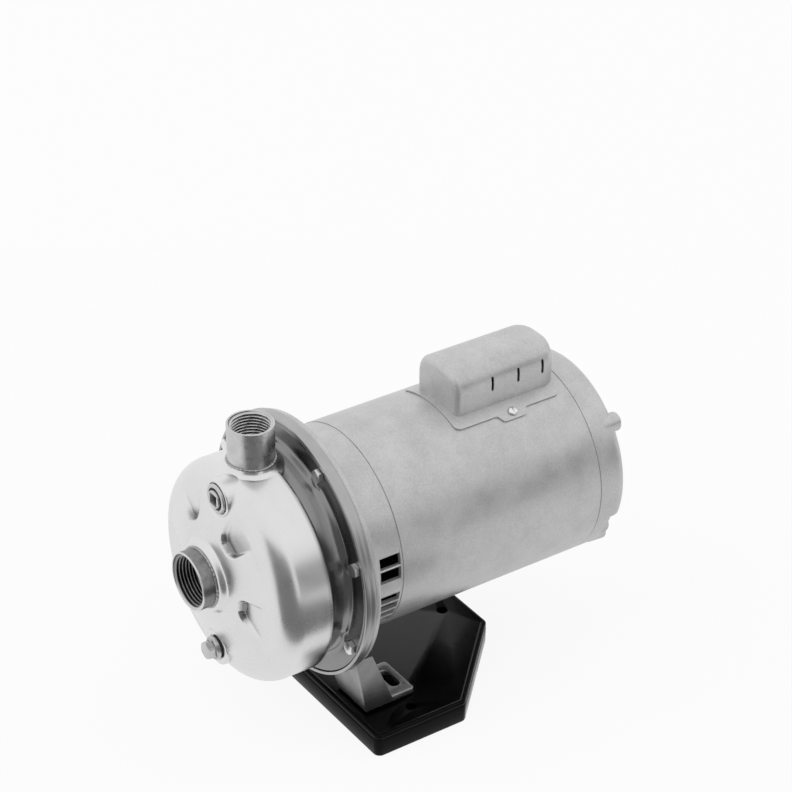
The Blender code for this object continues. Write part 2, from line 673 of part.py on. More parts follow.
def build_adapter(line):
    """Dish that holds the casing flange, cast in one with the two feet."""
    bm = bmesh.new()
    inner = RIM_RADIUS - RIM_WALL
    turn(bm, [(ADAPTER_BORE_RADIUS, 0.0), (ADAPTER_BORE_RADIUS, -DISH_FLOOR),
              (inner, -DISH_FLOOR), (inner, -RIM_DEPTH + 0.0004), (inner + 0.0004, -RIM_DEPTH),
              (RIM_RADIUS - 0.0012, -RIM_DEPTH), (RIM_RADIUS - 0.0006, -RIM_DEPTH + 0.0008),
              (RIM_RADIUS, 0.0)], ROUND)
    adapter = make_object("adapter_bracket", bm, ((0.52, 0.52, 0.52), 1.0, 0.38), line)

    foot_sides = bmesh.new()
    pads = bmesh.new()
    pockets = bmesh.new()
    for side in (-1.0, 1.0):
        bottom = [(side * FOOT_INNER_X, FOOT_FRONT_Y, FOOT_BOTTOM_Z),
                  (side * FOOT_OUTER_X, FOOT_FRONT_Y, FOOT_BOTTOM_Z),
                  (side * FOOT_OUTER_X, FOOT_BACK_Y, FOOT_BOTTOM_Z),
                  (side * FOOT_INNER_X, FOOT_BACK_Y, FOOT_BOTTOM_Z)]
        top = [(side * FOOT_INNER_X, FOOT_TOP_FRONT_Y, FOOT_TOP_Z),
               (side * FOOT_TOP_OUTER_X, FOOT_TOP_FRONT_Y, FOOT_TOP_Z),
               (side * FOOT_TOP_OUTER_X, FOOT_TOP_BACK_Y, FOOT_TOP_Z),
               (side * FOOT_INNER_X, FOOT_TOP_BACK_Y, FOOT_TOP_Z)]
        hexahedron(foot_sides, bottom, top)
        outline = [(side * FOOT_INNER_X, FOOT_FRONT_Y), (side * FOOT_OUTER_X, FOOT_FRONT_Y),
                   (side * FOOT_OUTER_X, PAD_BACK_Y), (side * FOOT_INNER_X, PAD_BACK_Y)]
        prism(pads, outline, FOOT_BOTTOM_Z, FOOT_BOTTOM_Z + PAD_THICKNESS, "Z")
        pocket_floor = FOOT_BOTTOM_Z + PAD_THICKNESS
        pocket_top = -math.sqrt(BELL_FLANGE_RADIUS ** 2 - FOOT_INNER_X ** 2) - FOOT_WALL
        slope = (FOOT_FRONT_Y - FOOT_TOP_FRONT_Y) / (FOOT_TOP_Z - FOOT_BOTTOM_Z)
        low_front = FOOT_FRONT_Y + FOOT_WALL
        high_front = low_front - slope * (pocket_top - pocket_floor)
        inner_x = FOOT_INNER_X + FOOT_WALL
        outer_x = FOOT_OUTER_X - FOOT_WALL
        hexahedron(pockets,
                   [(side * inner_x, low_front, pocket_floor),
                    (side * outer_x, low_front, pocket_floor),
                    (side * outer_x, PAD_BACK_Y, pocket_floor),
                    (side * inner_x, PAD_BACK_Y, pocket_floor)],
                   [(side * inner_x, high_front, pocket_top),
                    (side * outer_x, high_front, pocket_top),
                    (side * outer_x, PAD_BACK_Y, pocket_top),
                    (side * inner_x, PAD_BACK_Y, pocket_top)])
    legs = make_tool("adapter_legs_tool", foot_sides, line)
    cut(legs, make_tool("adapter_pockets_tool", pockets, line))
    bm = bmesh.new()
    turn(bm, [(0.0, -0.05), (inner + 0.0008, -0.05), (inner + 0.0008, -0.0008),
              (BELL_FLANGE_RADIUS + GAP, 0.0), (BELL_FLANGE_RADIUS + GAP, 0.08), (0.0, 0.08)], ROUND)
    cut(legs, make_tool("adapter_saddle_tool", bm, line))
    add(adapter, legs)
    add(adapter, make_tool("adapter_pads_tool", pads, line))

    bm = bmesh.new()
    for angle in bolt_angles():
        frame = Matrix.Translation(polar(BOLT_CIRCLE, angle, 0.0))
        rod(bm, BOLT_RADIUS + GAP, -0.02, 0.0020, ROUND_HOLE, frame)
    for side in (-1.0, 1.0):
        prism(bm, slot_outline(side, 0.0), FOOT_BOTTOM_Z - 0.01,
              FOOT_BOTTOM_Z + PAD_THICKNESS + 0.004, "Z")
    for x, y in foot_screw_places():
        frame = axis_frame((x, y - JOINT_FACE_Y, FOOT_BOTTOM_Z), (0.0, 0.0, 1.0))
        rod(bm, FOOT_SCREW_RADIUS + GAP, -0.01, PAD_THICKNESS + 0.0003, ROUND_BOLT, frame)
    cut(adapter, make_tool("adapter_holes_tool", bm, line))
    return adapter


def casing_profile():
    """The casing's section as (radius, y), outside from port to flange and back inside."""
    hole = SUCTION_RADIUS + GAP
    shoulder_start = CASING_RADIUS - SHOULDER_RADIUS
    edge_y = CASING_REAR_EDGE_Y
    inside = CASING_WALL
    collar = hole + COLLAR_WIDTH
    foot = collar + COLLAR_SLOPE
    bends = [radius for radius, y in arc(shoulder_start, 0.0, SHOULDER_RADIUS, 84.0, 0.0, 4)]
    outer_radii = [foot, 0.038, 0.054] + bends
    bends = [radius for radius, y in arc(shoulder_start, 0.0, SHOULDER_RADIUS - inside, 0.0, 84.0, 3)]
    inner_radii = bends + [0.050, foot]
    outer = [(hole, COLLAR_FRONT_Y), (collar, COLLAR_FRONT_Y)]
    outer += [(radius, front_y(radius)) for radius in outer_radii]
    outer += [(CASING_RADIUS, edge_y - 0.0026), (CASING_RADIUS - 0.0016, edge_y)]
    outer += [(NECK_RADIUS + 0.0006, edge_y + 0.0030), (NECK_RADIUS + 0.0008, edge_y + 0.0112),
              (STEP_RADIUS, FLANGE_FRONT_Y - 0.0020), (STEP_RADIUS + 0.0020, FLANGE_FRONT_Y),
              (FLANGE_RADIUS, FLANGE_FRONT_Y), (FLANGE_RADIUS, FLANGE_BACK_Y)]
    neck_inner = NECK_RADIUS - NECK_WALL
    inner = [(neck_inner + 0.0010, FLANGE_BACK_Y), (neck_inner, edge_y + 0.0014),
             (CASING_RADIUS - 0.0042, edge_y - 0.0022), (CASING_RADIUS - inside, edge_y - 0.0050)]
    inner += [(radius, front_y(radius, inside)) for radius in inner_radii]
    inner += [(collar, COLLAR_FRONT_Y + inside), (hole, COLLAR_FRONT_Y + inside)]
    return outer + inner


def dimple_half(radius):
    """Half the width of a dimple at a radius: a rounded inner end, then sides that open out."""
    along = max(radius - DIMPLE_INNER_RADIUS, 0.0)
    rounded = min(along / DIMPLE_APEX_LENGTH, 1.0)
    apex = DIMPLE_HALF_APEX + (DIMPLE_HALF_WIDTH - DIMPLE_HALF_APEX) * rounded
    return apex + along * math.tan(DIMPLE_HALF_ANGLE)


def dimple_block(bm, angle, radii, margin, front_of, back_of):
    """A wedge that opens outwards, in rows at the given radii from its narrow inner end."""
    along = polar(1.0, angle, 0.0)
    across = Vector((along.z, 0.0, -along.x))
    rows = []
    for radius in radii:
        half = dimple_half(radius) + margin
        row = []
        for height, order in ((front_of, (-1.0, 0.0, 1.0)), (back_of, (1.0, 0.0, -1.0))):
            for side in order:
                reach = math.hypot(radius, side * half)
                point = along * radius + across * side * half
                row.append(bm.verts.new(point + Vector((0.0, height(radius, reach), 0.0))))
        rows.append(row)
    bm.faces.new(rows[0])
    bm.faces.new(rows[-1])
    for near, far in zip(rows, rows[1:]):
        for corner in range(6):
            following = (corner + 1) % 6
            bm.faces.new((near[corner], near[following], far[following], far[corner]))


def dimple(backs, pockets, angle):
    """One pressed-in dimple: deep at its inner end, running out on the shoulder."""
    def outside(radius):
        shift = casing_shift(radius, DOME_FRONT_Y) * math.cos(angle - CASING_SHIFT_ANGLE)
        return front_y(radius - shift)

    deep = outside(DIMPLE_INNER_RADIUS) + DIMPLE_DEPTH
    slope = (outside(DIMPLE_OUTER_RADIUS) - deep) / (DIMPLE_OUTER_RADIUS - DIMPLE_INNER_RADIUS)

    def floor(radius):
        return deep + slope * (max(radius, DIMPLE_INNER_RADIUS) - DIMPLE_INNER_RADIUS)

    reach = DIMPLE_OUTER_RADIUS - DIMPLE_INNER_RADIUS
    wall = CASING_WALL
    past_apex = DIMPLE_INNER_RADIUS + DIMPLE_APEX_LENGTH
    back_radii = [DIMPLE_INNER_RADIUS - wall, past_apex - wall]
    back_radii += [DIMPLE_INNER_RADIUS + reach * share for share in (0.3, 0.6, 0.85, 1.0)]
    dimple_block(backs, angle, back_radii, wall, lambda radius, reach: outside(reach) + 0.5 * wall,
                 lambda radius, reach: max(floor(radius) + wall, outside(reach) + 0.9 * wall))
    dimple_block(pockets, angle, [DIMPLE_INNER_RADIUS, past_apex, DIMPLE_OUTER_RADIUS], 0.0,
                 lambda radius, reach: DOME_FRONT_Y - 0.01, lambda radius, reach: floor(radius))


def build_casing(line):
    """Pressed volute casing: domed front, off-centre body, neck and bolted flange."""
    profile = casing_profile()
    shifts = [polar(casing_shift(radius, y), CASING_SHIFT_ANGLE, 0.0) for radius, y in profile]
    bm = bmesh.new()
    turn(bm, profile, ROUND, shifts=shifts)
    casing = make_object("volute_casing", bm, ((0.62, 0.62, 0.61), 1.0, 0.24), line)

    scallops = bmesh.new()
    for angle in bolt_angles():
        frame = Matrix.Translation(polar(BOLT_CIRCLE, angle, 0.0))
        rod(scallops, SCALLOP_RADIUS, FLANGE_FRONT_Y - SCALLOP_DEPTH, FLANGE_FRONT_Y, ROUND_SMALL, frame)
    cut(casing, make_tool("casing_scallops_tool", scallops, line))

    backs = bmesh.new()
    pockets = bmesh.new()
    for angle in DIMPLE_ANGLES:
        dimple(backs, pockets, angle)
    add(casing, make_tool("casing_dimple_backs_tool", backs, line))
    cut(casing, make_tool("casing_dimples_tool", pockets, line))

    bosses = bmesh.new()
    openings = bmesh.new()
    for x, z, pad, seat, skirt, flange in plug_places():
        frame = Matrix.Translation(Vector((x, 0.0, z)))
        rod(openings, PLUG_PAD_RADIUS - 0.5 * PLUG_PAD_WALL, -0.12, skirt, ROUND_SMALL, frame)
        plug_boss(bosses, pad, seat, skirt, flange, frame)
    cut(casing, make_tool("casing_plug_openings_tool", openings, line))
    add(casing, make_tool("casing_bosses_tool", bosses, line))

    holes = bmesh.new()
    frame = axis_frame((0.0, DISCHARGE_Y, 0.0), (0.0, 0.0, 1.0))
    rod(holes, DISCHARGE_RADIUS + GAP, 0.060, 0.120, ROUND_PORT, frame)
    for angle in bolt_angles():
        frame = Matrix.Translation(polar(BOLT_CIRCLE, angle, 0.0))
        rod(holes, BOLT_RADIUS + GAP, FLANGE_FRONT_Y - 0.0004, 0.002, ROUND_HOLE, frame)
    cut(casing, make_tool("casing_holes_tool", holes, line))
    return casing


def plug_places():
    """The priming plug above the suction port and the drain plug below it."""
    return ((PRIMING_X, PRIMING_Z, PRIMING_PAD_Y, PRIMING_SEAT_Y, PRIMING_SKIRT_Y, PRIMING_FLANGE_RADIUS),
            (DRAIN_X, DRAIN_Z, DRAIN_PAD_Y, DRAIN_SEAT_Y, DRAIN_SKIRT_Y, DRAIN_FLANGE_RADIUS))


def plug_boss(bm, pad, seat, skirt, flange, frame):
    """A pressed-out pad with a skirt back to the casing, and a threaded bush behind its seat."""
    bore = PLUG_THREAD_RADIUS + GAP
    bush = bore + PLUG_BUSH_WALL
    recess = flange + PLUG_RECESS_CLEARANCE
    plate = seat + PLUG_PAD_THICKNESS
    inner = PLUG_PAD_RADIUS - PLUG_PAD_WALL
    turn(bm, [(recess, pad), (PLUG_PAD_RADIUS, pad), (PLUG_PAD_RADIUS, skirt), (inner, skirt),
              (inner, plate), (bush, plate), (bush, seat + PLUG_BUSH_LENGTH),
              (bore, seat + PLUG_BUSH_LENGTH), (bore, seat), (recess, seat)], ROUND_SMALL, frame)


def build_ports(line):
    """The two threaded couplings, each with its weld bead against the casing."""
    bm = bmesh.new()
    root = COLLAR_FRONT_Y - GAP
    inside = dome_y(SUCTION_RADIUS, CASING_WALL) + PORT_REACH
    face = SUCTION_FACE_Y
    turn(bm, [(SUCTION_BORE + PORT_BEVEL, face), (SUCTION_RADIUS - PORT_EDGE, face),
              (SUCTION_RADIUS, face + PORT_EDGE), (SUCTION_RADIUS, root - WELD_BEAD),
              (SUCTION_RADIUS + WELD_BEAD, root), (SUCTION_RADIUS, root), (SUCTION_RADIUS, inside),
              (SUCTION_BORE, inside), (SUCTION_BORE, face + PORT_BEVEL)], ROUND_INNER)
    make_object("suction_coupling", bm, ((0.50, 0.50, 0.49), 1.0, 0.35), line)

    bm = bmesh.new()
    frame = axis_frame((0.0, DISCHARGE_Y, 0.0), (0.0, 0.0, 1.0))
    low = CASING_RADIUS - CASING_SHIFT - CASING_WALL - PORT_REACH
    top = DISCHARGE_TOP_Z
    turn(bm, [(DISCHARGE_BORE, low), (DISCHARGE_RADIUS, low), (DISCHARGE_RADIUS, top - PORT_EDGE),
              (DISCHARGE_RADIUS - PORT_EDGE, top), (DISCHARGE_BORE + PORT_BEVEL, top),
              (DISCHARGE_BORE, top - PORT_BEVEL)], ROUND_PORT, frame)
    make_object("discharge_coupling", bm, ((0.50, 0.50, 0.49), 1.0, 0.35), line)


def build_plugs(line):
    """Priming plug with a square socket, drain plug with a hexagon head, each on its seal."""
    steel = ((0.45, 0.45, 0.44), 1.0, 0.32)
    fibre = ((0.20, 0.10, 0.06), 0.0, 0.60)
    names = ("priming_plug", "drain_plug")
    for name, (x, z, _, seat, _, flange) in zip(names, plug_places()):
        frame = Matrix.Translation(Vector((x, 0.0, z)))
        place = (x, seat, z)
        seal_back = seat - GAP
        seal_front = seal_back - PLUG_SEAL_THICKNESS
        bm = bmesh.new()
        tube(bm, flange - GAP, PLUG_THREAD_RADIUS + GAP, seal_front, seal_back, ROUND_SMALL, frame)
        make_object(name + "_seal", bm, fibre, line, place)

        back = seal_front - GAP
        front = back - PLUG_FLANGE_THICKNESS
        tip = back + PLUG_THREAD_LENGTH
        bm = bmesh.new()
        turn(bm, [(0.0, front), (flange - PORT_EDGE, front), (flange, front + PORT_EDGE), (flange, back),
                  (PLUG_THREAD_RADIUS, back), (PLUG_THREAD_RADIUS, tip - PLUG_THREAD_BEVEL),
                  (PLUG_THREAD_RADIUS - PLUG_THREAD_BEVEL, tip), (0.0, tip)], ROUND_SMALL, frame)
        plug = make_object(name, bm, steel, line, place)
        bm = bmesh.new()
        if name == "priming_plug":
            rod(bm, corner_radius(PLUG_SOCKET_HALF, 4), front - 0.001, front + PLUG_SOCKET_DEPTH, 4,
                frame @ Matrix.Rotation(math.radians(45.0), 4, "Y"))
            cut(plug, make_tool("priming_socket_tool", bm, line))
        else:
            hexagon = corner_radius(DRAIN_HEX_FLAT)
            turn(bm, [(0.0, front - DRAIN_HEX_HEIGHT), (hexagon - 0.0010, front - DRAIN_HEX_HEIGHT),
                      (hexagon, front - DRAIN_HEX_HEIGHT + 0.0010), (hexagon, front + 0.001),
                      (0.0, front + 0.001)], ROUND_HEX, frame)
            add(plug, make_tool("drain_hex_tool", bm, line))


def build_casing_bolts(line):
    """Hexagon bolts through the casing flange and adapter into the motor's end bell."""
    back = FLANGE_FRONT_Y - GAP
    front = back - BOLT_HEAD_HEIGHT
    tip = BELL_FLANGE_THICKNESS - 0.0002
    hexagon = corner_radius(BOLT_HEAD_FLAT)
    bm = bmesh.new()
    turn(bm, [(0.0, front), (hexagon - 0.0007, front), (hexagon, front + 0.0007),
              (hexagon, back), (BOLT_RADIUS, back), (BOLT_RADIUS, tip), (0.0, tip)], ROUND_HEX)
    frames = [Matrix.Translation(polar(BOLT_CIRCLE, angle, 0.0)) @ Matrix.Rotation(angle, 4, "Y")
              for angle in bolt_angles()]
    make_copies("casing_bolt", bm, ((0.60, 0.60, 0.60), 1.0, 0.22), line, frames)


def build_seal_plate(line):
    """Gasket, seal plate with its seat cup, and the stationary seat of the shaft seal."""
    gasket_back = -(DISH_FLOOR + SEAL_PLATE_THICKNESS + 2.0 * GAP)
    bolt_holes = bmesh.new()
    for angle in bolt_angles():
        frame = Matrix.Translation(polar(BOLT_CIRCLE, angle, 0.0))
        rod(bolt_holes, BOLT_RADIUS + GAP, -0.02, 0.01, ROUND_HOLE, frame)
    tool = make_tool("plate_bolt_holes_tool", bolt_holes, line)

    bm = bmesh.new()
    tube(bm, FLANGE_RADIUS - 0.0004, GASKET_INNER_RADIUS, gasket_back - GASKET_THICKNESS, gasket_back,
         ROUND_INNER)
    cut(make_object("casing_gasket", bm, ((0.02, 0.02, 0.02), 0.0, 0.6), line), tool)

    back = -(DISH_FLOOR + GAP)
    front = back - SEAL_PLATE_THICKNESS
    cup = SEAT_CUP_RADIUS
    wall = SEAL_PLATE_THICKNESS
    floor = front + SEAT_CUP_DEPTH
    lip = 0.5 * (cup + BEARING_BORE)
    bm = bmesh.new()
    turn(bm, [(FLANGE_RADIUS - 0.0004, front), (FLANGE_RADIUS - 0.0004, back), (cup + wall, back),
              (cup + wall, floor + wall), (lip, floor + wall), (lip, floor), (cup, floor),
              (cup, front)], ROUND_INNER)
    cut(make_object("seal_plate", bm, ((0.55, 0.55, 0.54), 1.0, 0.3), line), tool)

    boot_outer = cup - GAP
    boot_inner = boot_outer - SEAT_BOOT_WALL
    boot_bore = SHAFT_SEAL_RADIUS + SEAT_CLEARANCE + 0.0020
    boot_back = floor - GAP
    boot_floor = boot_back - SEAT_BOOT_WALL
    bm = bmesh.new()
    turn(bm, [(boot_outer, front + GAP), (boot_outer, boot_back), (boot_bore, boot_back),
              (boot_bore, boot_floor), (boot_inner, boot_floor), (boot_inner, front + GAP)], ROUND_INNER)
    make_object("seal_seat_boot", bm, ((0.02, 0.02, 0.02), 0.0, 0.55), line)
    bm = bmesh.new()
    tube(bm, boot_inner - GAP, SHAFT_SEAL_RADIUS + SEAT_CLEARANCE, front - 2.0 * GAP, boot_floor - GAP,
         ROUND_INNER)
    make_object("seal_seat", bm, ((0.85, 0.84, 0.80), 0.0, 0.25), line)


def build_rotating_seal(line):
    """Seal head that runs on the seat, pushed by a coil spring from the impeller hub."""
    head_back = SEAT_FACE_Y - 3.0 * GAP
    head_front = head_back - SEAL_HEAD_LENGTH
    bore = SHAFT_SEAL_RADIUS + GAP
    nose = SEAL_HEAD_RADIUS - SEAL_HEAD_STEP
    nose_y = head_back - 1.5 * SEAL_HEAD_STEP
    bm = bmesh.new()
    turn(bm, [(bore, head_back), (bore, head_front), (SEAL_HEAD_RADIUS, head_front),
              (SEAL_HEAD_RADIUS, nose_y), (nose, nose_y), (nose, head_back)], ROUND_SMALL)
    make_object("seal_head", bm, ((0.10, 0.10, 0.10), 0.0, 0.45), line)

    low = head_front - GAP - SPRING_WIRE
    high = IMPELLER_BACK_Y + GAP + SPRING_WIRE
    steps = SPRING_TURNS * 12
    bm = bmesh.new()
    rings = []
    for step in range(steps + 1):
        angle = TAU * SPRING_TURNS * step / steps
        y = low + (high - low) * step / steps
        centre = polar(SPRING_RADIUS, angle, y)
        outward = polar(1.0, angle, 0.0)
        ring = []
        for corner in range(5):
            turn_angle = TAU * corner / 5
            offset = outward * math.cos(turn_angle) + Vector((0.0, math.sin(turn_angle), 0.0))
            ring.append(bm.verts.new(centre + offset * SPRING_WIRE))
        rings.append(ring)
    for near, far in zip(rings, rings[1:]):
        for corner in range(5):
            following = (corner + 1) % 5
            bm.faces.new((near[corner], near[following], far[following], far[corner]))
    bm.faces.new(rings[0])
    bm.faces.new(rings[-1])
    make_object("seal_spring", bm, ((0.60, 0.60, 0.60), 1.0, 0.25), line)


def vane_outline(start):
    """Plan of one backward-curved vane as a log spiral of even thickness."""
    growth = math.log((IMPELLER_RADIUS - 0.0004) / VANE_INNER_RADIUS)
    outer_side = []
    inner_side = []
    for step in range(VANE_STEPS + 1):
        share = step / VANE_STEPS
        radius = VANE_INNER_RADIUS * math.exp(growth * share)
        angle = start + VANE_SWEEP * share
        half = 0.5 * VANE_THICKNESS / radius
        outer_side.append((radius * math.sin(angle + half), radius * math.cos(angle + half)))
        inner_side.append((radius * math.sin(angle - half), radius * math.cos(angle - half)))
    return outer_side + inner_side[::-1]


def build_impeller(line):
    """Closed impeller: back shroud with hub, curved vanes, front shroud with its eye."""
    back = IMPELLER_BACK_Y
    front = back - IMPELLER_SHROUD
    bore = SHAFT_HUB_RADIUS + GAP
    hub_front = front - VANE_HEIGHT_HUB - 0.0020
    bm = bmesh.new()
    turn(bm, [(bore, back), (bore, hub_front), (IMPELLER_HUB_RADIUS - 0.003, hub_front),
              (IMPELLER_HUB_RADIUS, front - 0.004), (IMPELLER_HUB_RADIUS + 0.004, front),
              (IMPELLER_RADIUS, front), (IMPELLER_RADIUS, back)], ROUND_INNER)
    impeller = make_object("impeller", bm, ((0.55, 0.55, 0.54), 1.0, 0.3), line)

    tip_y = front - VANE_HEIGHT_TIP
    shroud_back = [(IMPELLER_RADIUS, tip_y), (0.040, tip_y - 0.0024),
                   (IMPELLER_EYE_RADIUS + 0.0010, tip_y - 0.0080),
                   (IMPELLER_EYE_RADIUS - IMPELLER_SHROUD, tip_y - 0.0110),
                   (IMPELLER_EYE_RADIUS - IMPELLER_SHROUD, IMPELLER_EYE_Y)]
    shroud_front = [(IMPELLER_EYE_RADIUS, IMPELLER_EYE_Y), (IMPELLER_EYE_RADIUS, tip_y - 0.0125),
                    (0.040, tip_y - 0.0024 - IMPELLER_SHROUD * 1.1),
                    (IMPELLER_RADIUS, tip_y - IMPELLER_SHROUD)]
    bm = bmesh.new()
    for number in range(VANE_COUNT):
        prism(bm, vane_outline(TAU * number / VANE_COUNT), front + 0.0010, IMPELLER_FRONT_Y, "Y")
    vanes = make_tool("impeller_vanes_tool", bm, line)
    bm = bmesh.new()
    past_rim = IMPELLER_RADIUS + 0.018
    far_front = IMPELLER_EYE_Y - 0.034
    turn(bm, [(VANE_INNER_RADIUS - 0.0010, far_front)] + shroud_front
         + [(past_rim, tip_y - IMPELLER_SHROUD), (past_rim, far_front)], ROUND_INNER)
    trimmer = make_tool("impeller_trim_tool", bm, line)
    cut(vanes, trimmer)
    add(impeller, vanes)
    bm = bmesh.new()
    turn(bm, shroud_back + shroud_front, ROUND_INNER)
    add(impeller, make_tool("impeller_shroud_tool", bm, line))

    bm = bmesh.new()
    nut_back = hub_front - GAP
    hexagon = corner_radius(NUT_FLAT)
    bore = corner_radius(SHAFT_THREAD_RADIUS + GAP)
    nut_front = nut_back - NUT_HEIGHT
    turn(bm, [(bore, nut_back), (hexagon, nut_back), (hexagon, nut_front + NUT_BEVEL),
              (hexagon - NUT_BEVEL, nut_front), (bore, nut_front)], ROUND_HEX)
    make_object("impeller_nut", bm, ((0.55, 0.55, 0.54), 1.0, 0.3), line)


def build_eye(line):
    """Wear ring round the impeller eye, held by a spun support inside the casing front."""
    ring_inner = IMPELLER_EYE_RADIUS + RUNNING_GAP
    ring_outer = ring_inner + WEAR_RING_WALL
    ring_back = IMPELLER_EYE_Y + 0.0050
    ring_front = ring_back - WEAR_RING_LENGTH
    bm = bmesh.new()
    tube(bm, ring_outer, ring_inner, ring_front, ring_back, ROUND_INNER)
    make_object("wear_ring", bm, ((0.45, 0.30, 0.14), 1.0, 0.35), line)

    holder = EYE_SUPPORT_INNER
    wall = EYE_SUPPORT_WALL
    lip = ring_front - GAP
    foot = holder + EYE_SUPPORT_FOOT
    foot_y = dome_y(foot, CASING_WALL) + GAP
    catch = holder - 0.5 * WEAR_RING_WALL
    bm = bmesh.new()
    turn(bm, [(holder, ring_back), (holder, lip), (catch, lip), (catch, lip - wall), (holder, lip - wall),
              (holder, foot_y), (foot, foot_y), (foot, foot_y + wall), (holder + wall, foot_y + wall),
              (holder + wall, ring_back)], ROUND_INNER)
    make_object("eye_support", bm, ((0.55, 0.55, 0.54), 1.0, 0.3), line)


def build_front_bell(line):
    """Front end bell: mounting flange, vented skirt, bearing hub and through-bolt bosses."""
    skirt_inner = BELL_RADIUS - BELL_WALL
    hub_inner = BEARING_RADIUS + GAP
    hub_outer = hub_inner + BEARING_HUB_WALL
    hub_rear = FRONT_BEARING_Y + BEARING_WIDTH + BELL_CUP_CLEARANCE
    web = BELL_WEB
    cup = SEAT_CUP_RADIUS + SEAL_PLATE_THICKNESS + 2.0 * BELL_CUP_CLEARANCE
    cup_floor = SEAL_PLATE_CUP_Y + BELL_CUP_CLEARANCE
    bore = SHAFT_CORE_RADIUS + PORT_EDGE
    shelf = FRONT_BEARING_Y - GAP
    flange_back = BELL_FLANGE_THICKNESS
    spigot = SHELL_INNER - GAP
    spigot_end = SHELL_FRONT_Y + BELL_SPIGOT
    bm = bmesh.new()
    turn(bm, [(bore, cup_floor), (cup, cup_floor), (cup, GAP), (BELL_FLANGE_RADIUS, GAP),
              (BELL_FLANGE_RADIUS, flange_back - 0.0008), (BELL_FLANGE_RADIUS - 0.0008, flange_back),
              (BELL_RADIUS + 0.002, flange_back), (BELL_RADIUS, flange_back + 0.002),
              (BELL_RADIUS, SHELL_FRONT_Y - GAP), (spigot, SHELL_FRONT_Y - GAP), (spigot, spigot_end),
              (skirt_inner - 0.001, spigot_end), (skirt_inner, SHELL_FRONT_Y - 0.002),
              (skirt_inner, web), (hub_outer, web), (hub_outer, hub_rear), (hub_inner, hub_rear),
              (hub_inner, shelf), (bore, shelf)], ROUND)
    bell = make_object("front_end_bell", bm, ((0.50, 0.50, 0.50), 1.0, 0.40), line)

    rod_end = SHELL_FRONT_Y - 0.0010
    bosses = bmesh.new()
    drilled = bmesh.new()
    for angle in THROUGH_BOLT_ANGLES:
        frame = Matrix.Translation(polar(THROUGH_BOLT_CIRCLE, angle, 0.0))
        rod(bosses, THROUGH_BOLT_RADIUS + BELL_BOSS_WALL, 0.5 * web, rod_end, ROUND_BOLT, frame)
        rod(drilled, THROUGH_BOLT_RADIUS + GAP, web + 0.002, 0.08, ROUND_HOLE, frame)
    for angle in bolt_angles():
        frame = Matrix.Translation(polar(BOLT_CIRCLE, angle, 0.0))
        rod(drilled, BOLT_RADIUS + GAP, -0.01, 0.02, ROUND_HOLE, frame)
    add(bell, make_tool("front_bell_bosses_tool", bosses, line))
    cut(bell, make_tool("front_bell_drilling_tool", drilled, line))

    vents = bmesh.new()
    for low, high in VENT_SLOTS:
        for side in (1.0, -1.0):
            sector(vents, BELL_RADIUS + 0.01, skirt_inner - 0.001, VENT_FRONT_Y, VENT_REAR_Y,
                   side * math.radians(low), side * math.radians(high), 1)
    cut(bell, make_tool("front_bell_vents_tool", vents, line))
    return bell


def build_shell(line):
    """Rolled motor shell with the hole for the capacitor wires."""
    bm = bmesh.new()
    tube(bm, SHELL_RADIUS, SHELL_INNER, SHELL_FRONT_Y, SHELL_REAR_Y, ROUND)
    shell = make_object("motor_shell", bm, ((0.55, 0.55, 0.55), 0.0, 0.35), line)
    bm = bmesh.new()
    frame = axis_frame((0.0, WIRE_HOLE_Y, 0.0), (0.0, 0.0, 1.0))
    rod(bm, WIRE_HOLE_RADIUS, SHELL_RADIUS - 0.015, SHELL_RADIUS + 0.015, ROUND_SMALL, frame)
    cut(shell, make_tool("shell_wire_hole_tool", bm, line))
    return shell


